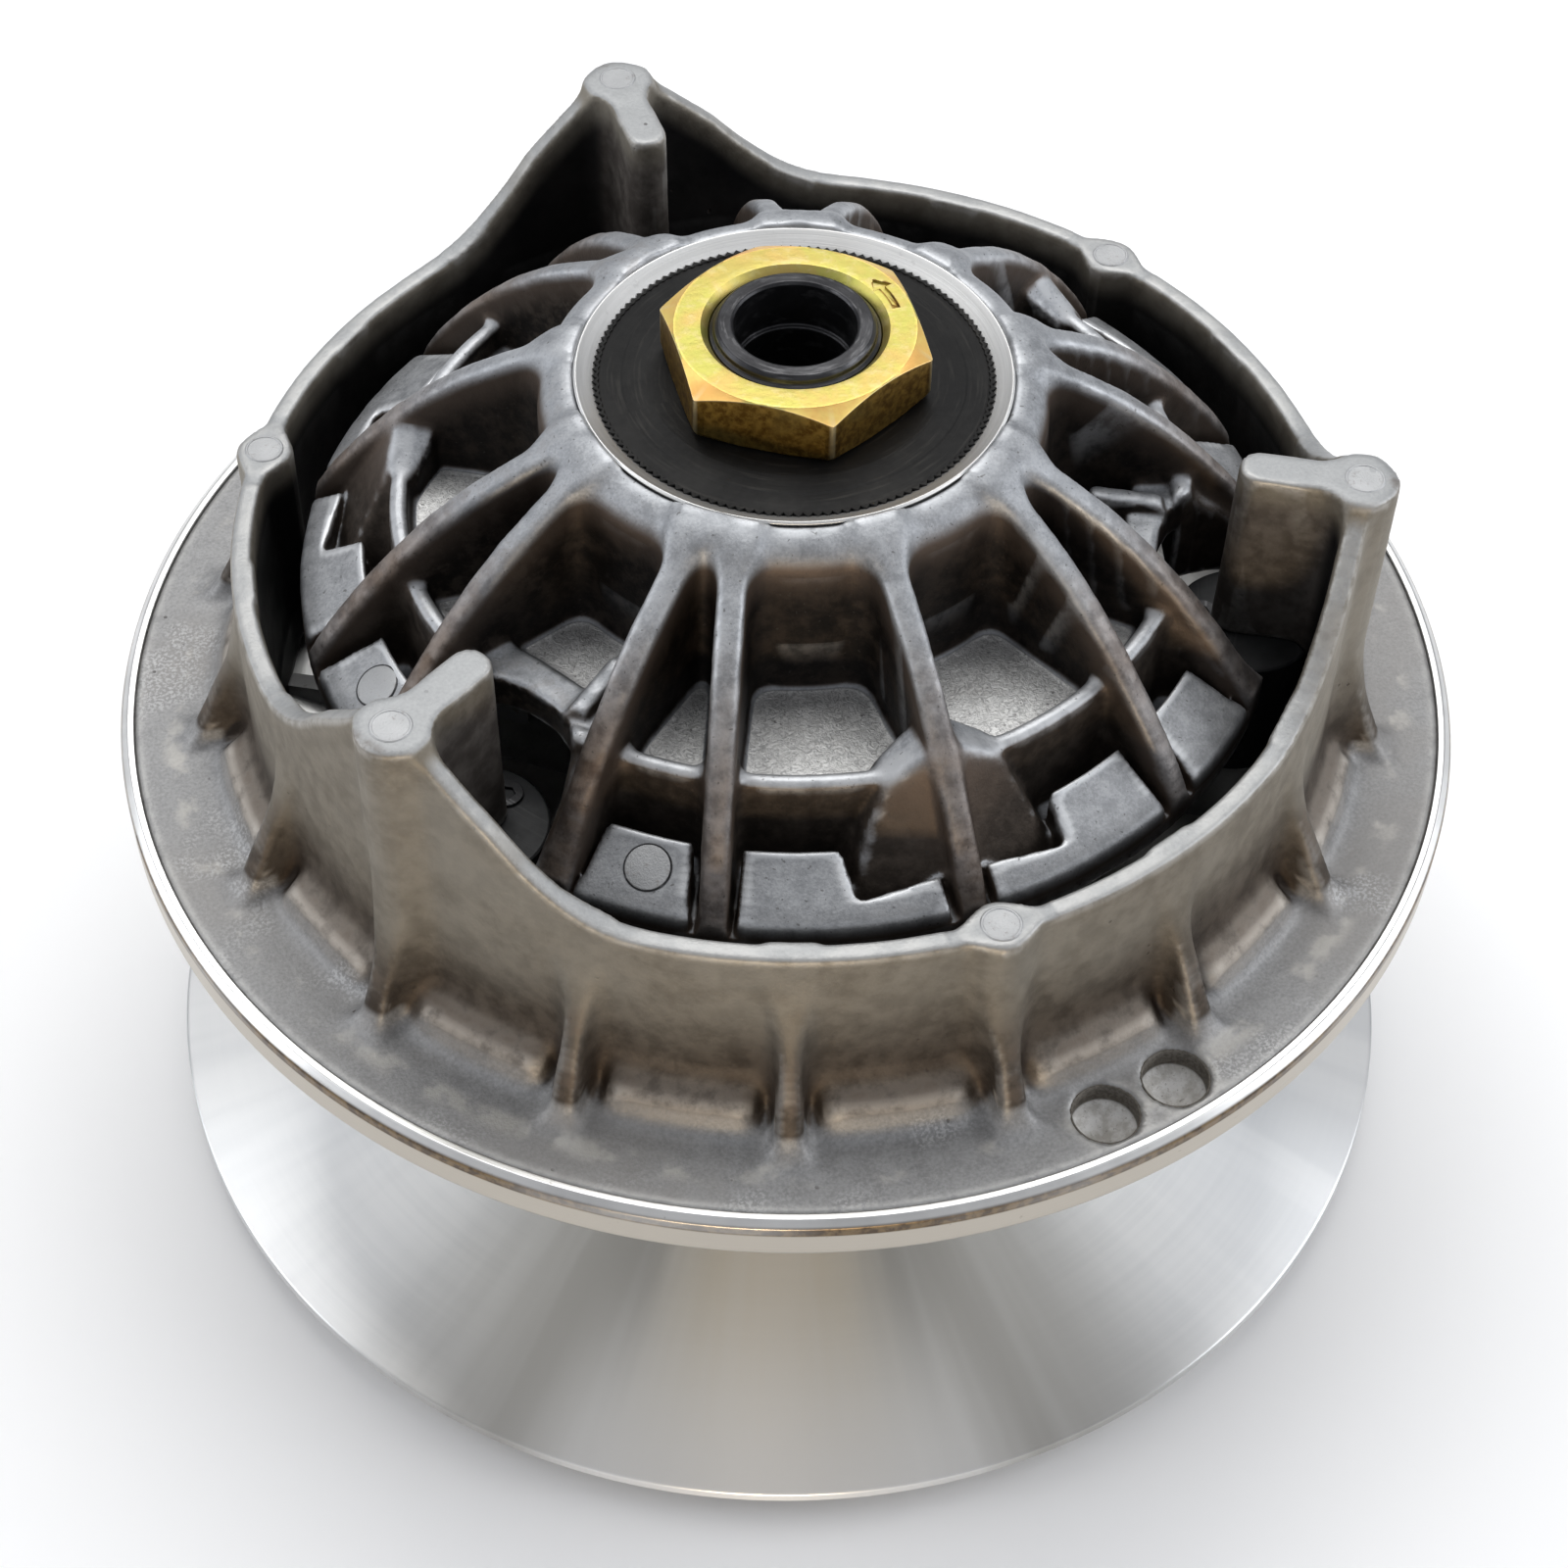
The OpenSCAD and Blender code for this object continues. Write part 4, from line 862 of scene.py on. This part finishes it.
v, f = joined(discs)
put("cup_marks", v, f, M_MARK, "drive_shaft_group", "ramp_cup")
v, f = joined(rings)
put("cup_mark_shade_rings", v, f, M_SCREW, "drive_shaft_group", "ramp_cup")
lathe("cup_hub_ring", [(27.6, 116), (30.7, 116), (30.7, 143.2, 0), (31.05, 144.0, 0.15), (30.75, ZHUB - 0.02, 0.2), (28.5, ZHUB - 1.45, 0), (27.6, ZHUB - 2.0, 0)],
      M_HUBR, "drive_shaft_group", "ramp_cup", n=240, rad=0.15)
lathe("cup_inner_floor", [(20.5, 115.2), (31.5, 115.2), (31.5, 116.8), (30.2, 116.9), (28.2, 131), (20.5, 131)],
      M_BACK, "drive_shaft_group", "ramp_cup", n=160, rad=0.3)


# ------------------------------------------------------------------ serrated hub insert
def insert_mesh():
    teeth, per = 132, 6
    n = teeth * per
    th = np.arange(n) * 2 * math.pi / n
    tri = np.abs(((np.arange(n) % per) / per) * 2 - 1)
    prof = [(12.1, 131, 0), (27.6, 131, 0), (28.5, 131.6, 1), (28.5, 142.92, 1), (28.4, 143.04, 1), (27.7, 143.04, 0.4), (27.45, 142.86, 0), (24.4, 143.12, 0),
            (24.1, 143.20, 0), (21.0, 143.50, 0), (19.9, 143.50, 0), (12.1, 143.50, 0)]
    m = len(prof)
    v = np.zeros((n, m, 3))
    for k, (r, z, t) in enumerate(prof):
        rr = r - t * 0.72 * (1 - tri)
        v[:, k] = np.stack([rr * np.cos(th), rr * np.sin(th), np.full(n, z)], -1)
    i, j = np.meshgrid(np.arange(n), np.arange(m), indexing="ij")
    i2, j2 = (i + 1) % n, (j + 1) % m
    return v.reshape(-1, 3), np.stack([i * m + j, i2 * m + j, i2 * m + j2, i * m + j2], -1).reshape(-1, 4)


v, f = insert_mesh()
ob = put("cup_hub_insert", v, f, M_INS, "drive_shaft_group", "cup_insert")
ob.data.polygons.foreach_set("use_smooth", np.zeros(len(ob.data.polygons), dtype=bool))


# ------------------------------------------------------------------ nut, with a plain direction arrow cut in it
def nut_mesh():
    af, z0, h, a0 = 34.0, 143.52, 8.6, 25.1
    n = 432
    th = np.arange(n) * 2 * math.pi / n
    q = (np.degrees(th) - a0 - 30 + 30) % 60 - 30
    hexr = af / 2 / np.cos(np.radians(q))
    # round the six corners a little
    hexr = np.minimum(hexr, af / 2 / math.cos(math.radians(30)) - 0.10 + 0 * hexr)
    rc = 16.9
    t30 = math.tan(math.radians(31))
    rings = []
    def ring(rad, z): rings.append(np.stack([rad * np.cos(th), rad * np.sin(th), np.broadcast_to(z, th.shape)], -1))
    ring(np.full(n, 12.1), z0); ring(hexr - 1.0, z0)
    ring(hexr - 0.35, z0 + 0.02 + np.clip(hexr - 17.4, 0, 9) * 0.3); ring(hexr, z0 + 0.35 + np.clip(hexr - 17.2, 0, 9) * 0.42)
    zt = z0 + h - np.maximum(hexr - rc, 0) * t30
    ring(hexr, zt - 0.30); ring(hexr, zt - 0.08); ring(hexr - 0.05, zt + 0.0); ring(hexr - 0.16, zt + 0.05)
    ra = np.minimum(rc + 0.15, hexr - 0.20); rb = np.minimum(rc, hexr - 0.26)
    ring(ra, z0 + h - 0.02 - np.maximum(ra - rc, 0) * t30); ring(rb, z0 + h - 0.008); ring(np.full(n, rc - 0.35), z0 + h)
    for rad in (15.4, 14.4, 13.5):
        ring(np.full(n, rad), z0 + h)
    ring(np.full(n, 13.15), z0 + h - 0.03); ring(np.full(n, 12.95), z0 + h - 0.22); ring(np.full(n, 12.15), z0 + h - 1.1); ring(np.full(n, 12.1), z0 + h - 1.6)
    v = np.stack(rings, 1); m = v.shape[1]
    i, j = np.meshgrid(np.arange(n), np.arange(m), indexing="ij")
    i2, j2 = (i + 1) % n, (j + 1) % m
    f = np.stack([i * m + j, i2 * m + j, i2 * m + j2, i * m + j2], -1).reshape(-1, 4)
    lab = np.zeros((n, m)); corner = np.clip((hexr - 19.36) / 0.14, 0, 1)
    for k in range(3, 8): lab[:, k] = corner
    for k in (5, 6): lab[:, k] = np.maximum(lab[:, k], 0.45)
    up = np.zeros((n, m)); up[:, 6:18] = 1.0; up[:, 5] = 0.2
    cham = np.zeros((n, m)); cham[:, 5:9] = np.clip((hexr - rc - 0.25) / 0.15, 0, 1)[:, None]; cham[:, 9] = 0.5
    return v.reshape(-1, 3), f, dict(edge=lab.ravel(), up=up.ravel(), cham=cham.ravel())


v, f, at = nut_mesh()
nut = put("hex_nut", v, f, M_NUT, "drive_shaft_group", "lock_nut", at)


def arrow_tool():
    """An arc with a head, turning the way the nut is loosened."""
    bm = bmesh.new()
    z0, z1 = 143.52 + 8.6 - 0.36, 143.52 + 8.6 + 1
    R0, w = 14.7, 0.42
    a0, a1 = math.radians(-4.4), math.radians(14.0)
    o = [((R0 + w) * math.cos(a), (R0 + w) * math.sin(a)) for a in np.linspace(a0, a1, 9)]
    tip = math.radians(22.3)
    head = [((R0 + 1.45) * math.cos(a1), (R0 + 1.45) * math.sin(a1)), (R0 * math.cos(tip), R0 * math.sin(tip)), ((R0 - 1.45) * math.cos(a1), (R0 - 1.45) * math.sin(a1))]
    i = [((R0 - w) * math.cos(a), (R0 - w) * math.sin(a)) for a in np.linspace(a1, a0, 9)]
    prism(bm, o + head + i, z0, z1)
    bmesh.ops.recalc_face_normals(bm, faces=bm.faces)
    bmesh.ops.scale(bm, vec=(MM,) * 3, verts=bm.verts)
    me = bpy.data.meshes.new("arrow_tool"); bm.to_mesh(me); bm.free()
    ob = bpy.data.objects.new("arrow_tool", me); bpy.context.scene.collection.objects.link(ob)
    return ob


tool = arrow_tool()
mod = nut.modifiers.new("arrow", 'BOOLEAN'); mod.object = tool; mod.operation = 'DIFFERENCE'; mod.solver = 'EXACT'
dg = bpy.context.evaluated_depsgraph_get()
cutm = bpy.data.meshes.new_from_object(nut.evaluated_get(dg))
nut.modifiers.clear(); old = nut.data; nut.data = cutm; bpy.data.meshes.remove(old)
bpy.data.objects.remove(tool)
nut.data.materials.clear(); nut.data.materials.append(M_NUT)
for e in nut.data.edges:
    pass
try:
    nut.data.set_sharp_from_angle(angle=math.radians(28))
except Exception:
    pass

# ------------------------------------------------------------------ shaft
thread = []
zz = 151.0
while zz > 131.6:
    thread += [(12.02, zz), (11.3, zz - 0.75)]
    zz -= 1.5
lathe("main_shaft", [(12.5, 0.05, 0.3), (17.95, 0.05, 0.3), (17.95, 24, 0.2), (15, 24, 0.2), (15, 130.4, 0.2), (14.4, 131, 0.2), (11.3, 131, 0.2)]
      + [(r, z, 0.08) for r, z in thread[::-1]]
      + [(11.35, 151.3, 0.3), (11.3, ZTIP - 0.5, 0.35), (10.75, ZTIP, 0.25), (8.95, ZTIP, 0.3), (8.6, ZTIP - 0.4, 0.2), (8.6, 145, 0.3), (7.9, 144.9, 0.3), (7.9, 51, 0.5), (8.5, 50, 0.3), (8.5, 40, 0.5)],
      M_SHAFT, "drive_shaft_group", "shaft", n=128, rad=0.2, seg=2)

# ------------------------------------------------------------------ fixed sheave
zf = lambda r: 8.0 + (RIM - r) * SL
lathe("fixed_turned", [(18, 0.0, 0.3), (29, 0.0, 0.8), (31, 3, 1), (32.6, 15.6, 3), (40, zf(40) - 6.2, 2), (90, 5.7, 1), (92, 6, 0.3), (RIM, 6, 0.45), (RIM, 8.0, 0.45),
      (26, zf(26), 0.5), (25.2, 25, 0.3), (15.05, 25, 0.2), (15.05, 24, 0), (18, 24, 0)], M_CONE, "drive_shaft_group", "fixed_flange", n=320, rad=0.4)


def back_ribs(bm):
    for k in range(12):
        m = Matrix.Rotation(math.radians(15 + 30 * k), 4, 'Z')
        o = [(30.2, 1.8), (60, 3.3), (91.0, 6.1), (91.0, 7.4), (42, 17.5), (31.5, 17.0)]
        lo = [bm.verts.new(m @ Vector((x, -2.0, z))) for x, z in o]; hi = [bm.verts.new(m @ Vector((x, 2.0, z))) for x, z in o]
        bm.faces.new(lo); bm.faces.new(hi[::-1])
        for i in range(len(o)):
            bm.faces.new((lo[i], hi[i], hi[(i + 1) % len(o)], lo[(i + 1) % len(o)]))


bevelled("fixed_back_ribs", back_ribs, M_BACK, "drive_shaft_group", "fixed_flange", 0.7, 3)

# ------------------------------------------------------------------ shoes and their screws
sh, sc = [], []
for a in TOWER:
    c, s = math.cos(math.radians(a)), math.sin(math.radians(a))
    sh.append((c, s))


def shoes(bm):
    for c, s in sh:
        out = []
        for k in range(96):
            b = 2 * math.pi * k / 96
            x, y = 68 + 10.5 * math.cos(b), 10.5 * math.sin(b)
            d = math.hypot(x - 80.75, y)
            if d < 5.75 and x > 70:
                x = 80.75 - math.sqrt(max(5.75 ** 2 - y * y, 0))
            out.append((c * x - s * y, s * x + c * y))
        prism(bm, out, 84.95, 106.8)


bevelled("shoe_blocks", shoes, M_SHOE, "sliding_sheave", "guide_shoes", 0.7, 3, 40)


def screws(bm):
    for c, s in sh:
        n = 40
        v = []
        for k in range(n):
            b = 2 * math.pi * k / n
            v.append((61.5 + 2.35 * math.cos(b), 2.35 * math.sin(b)))
        hexa = [(61.5 + 1.2 * math.cos(math.pi / 3 * k), 1.2 * math.sin(math.pi / 3 * k)) for k in range(6)]
        rot = lambda p: (c * p[0] - s * p[1], s * p[0] + c * p[1])
        lo = [bm.verts.new((*rot(p), 100.0)) for p in v]; hi = [bm.verts.new((*rot(p), 107.3)) for p in v]
        hx = [bm.verts.new((*rot(p), 107.3)) for p in hexa]; hb = [bm.verts.new((*rot(p), 105.8)) for p in hexa]
        bm.faces.new(lo[::-1])
        for k in range(n):
            bm.faces.new((lo[k], lo[(k + 1) % n], hi[(k + 1) % n], hi[k]))
        for k in range(6):
            bm.faces.new((hx[k], hb[k], hb[(k + 1) % 6], hx[(k + 1) % 6]))
        bm.faces.new(hb)
        # the annulus between the round head and the hexagon
        for k in range(n):
            j0, j1 = int(k * 6 / n), int(((k + 1) % n) * 6 / n)
            if j0 == j1:
                bm.faces.new((hi[k], hi[(k + 1) % n], hx[j0]))
            else:
                bm.faces.new((hi[k], hi[(k + 1) % n], hx[j1], hx[j0]))


bevelled("shoe_screw_heads", screws, M_SCREW, "sliding_sheave", "shoe_screws", 0.12, 1, 40)

# ------------------------------------------------------------------ idler, bearing, spring and bushing
lathe("idler_tube", [(20.1, 26.5, 0.4), (25, 26.5, 0.8), (25, 56.5, 0.8), (20.1, 56.5, 0.4)], M_GROUND, "idler", "idler_sleeve", n=160)
lathe("race_ring", [(15.05, 26.2), (17, 26.2), (17, 57), (15.05, 57)], M_GROUND, "drive_shaft_group", "bearing_inner_ring", n=96, rad=0.25)
lathe("thrust_ring", [(15.05, 25), (24.5, 25), (24.5, 26.2), (15.05, 26.2)], M_GROUND, "drive_shaft_group", "thrust_washer", n=128, rad=0.25)
lathe("lower_seat", [(15.05, 57), (24.4, 57), (24.4, 60), (22.8, 60), (22.5, 59.8), (17.6, 59.8), (17.3, 60), (15.05, 60)], M_GROUND, "drive_shaft_group", "spring_seat_lower", n=128, rad=0.25)
lathe("upper_seat", [(15.6, 108.5), (25.3, 108.5), (25.3, 110), (15.6, 110)], M_GROUND, "sliding_sheave", "spring_seat_upper", n=128, rad=0.25)
lathe("bushing", [(15.05, 112.2), (17.3, 112.2), (17.3, 129.3), (15.05, 129.3)], M_BRONZE, "sliding_sheave", "hub_bushing", n=96, rad=0.3)
ndl = []
for k in range(20):
    vv, ff = lathe_data([(0.02, 30), (1.49, 30, 0.3), (1.49, 54, 0.3), (0.02, 54)], 20, 0, 2)
    ndl.append((vv + np.array([18.55 * math.cos(math.radians(18 * k)), 18.55 * math.sin(math.radians(18 * k)), 0]), ff))
v, f = joined(ndl)
put("needles", v, f, M_GROUND, "drive_shaft_group", "needle_rollers")


def spring_mesh():
    wr, sr, z0, z1, turns, per, sd = 2.1, 20.0, 60.0, 108.5, 4.5, 72, 20
    n = int(turns * per)
    t = np.arange(n + 1) / per
    H = z1 - z0 - 2 * wr
    uu = np.where(t < 0.75, t * 2 * wr, np.where(t > turns - 0.75, H - (turns - t) * 2 * wr, 0.75 * 2 * wr + (t - 0.75) / (turns - 1.5) * (H - 1.5 * 2 * wr)))
    uu = np.convolve(np.pad(uu, 9, mode="reflect", reflect_type="odd"), np.hanning(21)[1:-1] / np.hanning(21)[1:-1].sum(), mode="valid")
    a = 2 * math.pi * t
    b = np.arange(sd) * 2 * math.pi / sd
    rr = sr + wr * np.cos(b)[None, :]
    # the closed ends are ground flat
    z = z0 + wr + uu[:, None] + wr * np.sin(b)[None, :]
    z = np.clip(z, z0 + 0.02, z1 - 0.02)
    v = np.stack([rr * np.cos(a)[:, None], rr * np.sin(a)[:, None], z], -1).reshape(-1, 3)
    fs = []
    for i in range(n):
        for k in range(sd):
            m = (k + 1) % sd
            fs.append((i * sd + k, (i + 1) * sd + k, (i + 1) * sd + m, i * sd + m))
    fs.append(tuple(range(sd))); fs.append(tuple(n * sd + k for k in range(sd - 1, -1, -1)))
    return v, fs


v, f = spring_mesh()
spring = put("coil_spring", v, f, M_SPRING, "drive_shaft_group", "return_spring")
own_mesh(spring)


# ------------------------------------------------------------------ ramps, weights and rollers (hidden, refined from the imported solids)
def from_node(node):
    src = bpy.data.objects.get(node)
    def build(bm):
        bm.from_mesh(src.data)
        bmesh.ops.transform(bm, matrix=src.matrix_world, verts=bm.verts)
        bmesh.ops.scale(bm, vec=(1000, 1000, 1000), verts=bm.verts)
    return build


bevelled("ramp_blocks", from_node("ramp_plates"), M_WEIGHT, "drive_shaft_group", "ramp_plates", 0.3)
bevelled("ramp_cross_pins", from_node("ramp_pins"), M_GROUND, "drive_shaft_group", "ramp_pins", 0.2, 1, 50)
for k in (1, 2, 3):
    bevelled(f"weight_block_{k}", from_node(f"flyweight_{k}"), M_WEIGHT, f"weight_{k}", f"flyweight_{k}", 0.5)
    bevelled(f"weight_roller_{k}", from_node(f"roller_{k}"), M_NYLON, f"roller_{k}", f"roller_{k}", 0.3, 2, 50)
    bevelled(f"weight_pin_{k}", from_node(f"roller_pin_{k}"), M_GROUND, f"weight_{k}", f"roller_pin_{k}", 0.3, 1, 50)

# ------------------------------------------------------------------ stage, light and camera
fl = bpy.data.meshes.new("floor")
fl.from_pydata([(-6, -6, 0), (6, -6, 0), (6, 6, 0), (-6, 6, 0)], [], [(0, 1, 2, 3)])
floor = bpy.data.objects.new("floor", fl); bpy.context.scene.collection.objects.link(floor)
g = G("pale_floor")
fl.materials.append(g.done((0.93, 0.93, 0.93), 0.9, 0.0, None, 0.2))

w = bpy.data.worlds.new("studio"); bpy.context.scene.world = w; w.use_nodes = True
w.node_tree.nodes["Background"].inputs[0].default_value = (0.93, 0.95, 1.0, 1.0)
w.node_tree.nodes["Background"].inputs[1].default_value = 0.50


def area(name, loc, aim, size, watts, color=(1, 1, 1), sy=None):
    l = bpy.data.lights.new(name, 'AREA'); l.energy = watts; l.color = color
    l.shape = 'RECTANGLE'; l.size = size; l.size_y = sy or size
    o = bpy.data.objects.new(name, l); bpy.context.scene.collection.objects.link(o)
    o.location = loc
    o.rotation_euler = (Vector(aim) - Vector(loc)).to_track_quat('-Z', 'Y').to_euler()
    return o


ca, sa = math.cos(math.radians(-21.09)), math.sin(math.radians(-21.09))
def row(x, y, z): return (ca * x - sa * y, sa * x + ca * y, z)   # from the camera's frame (camera along +Y) to the row's


area("top", row(-0.05, 0.50, 1.10), (0, 0, 0.08), 1.0, 8.5, (1.0, 0.99, 0.97), 0.7)
area("left", row(-1.0, 0.0, 0.55), (0, 0, 0.07), 0.7, 3.9, (0.95, 0.97, 1.0))
area("right", row(1.0, 0.0, 0.55), (0, 0, 0.07), 0.7, 5.0, (0.95, 0.97, 1.0))
area("front", row(0.0, -1.0, 0.05), (0, 0, 0.05), 0.22, 3.0, (1.0, 0.80, 0.55), 0.08)

cam = bpy.data.cameras.new("camera"); camo = bpy.data.objects.new("camera", cam); bpy.context.scene.collection.objects.link(camo)
C = Vector(row(0, -0.320844, 0.427288)); T = Vector(row(-0.000127, 0.033753, 0.01578))
fw = (T - C).normalized(); rt = fw.cross(Vector((0, 0, 1))).normalized(); u_ = rt.cross(fw)
ro = 0.0232
r2 = rt * math.cos(ro) + u_ * math.sin(ro); u2 = u_ * math.cos(ro) - rt * math.sin(ro)
camo.matrix_world = Matrix(((r2.x, u2.x, -fw.x, C.x), (r2.y, u2.y, -fw.y, C.y), (r2.z, u2.z, -fw.z, C.z), (0, 0, 0, 1)))
cam.sensor_width = 36; cam.lens = 69.42; cam.clip_start = 0.01; cam.clip_end = 20
bpy.context.scene.camera = camo
bpy.context.scene.view_settings.view_transform = 'Standard'

bpy.context.view_layer.update()
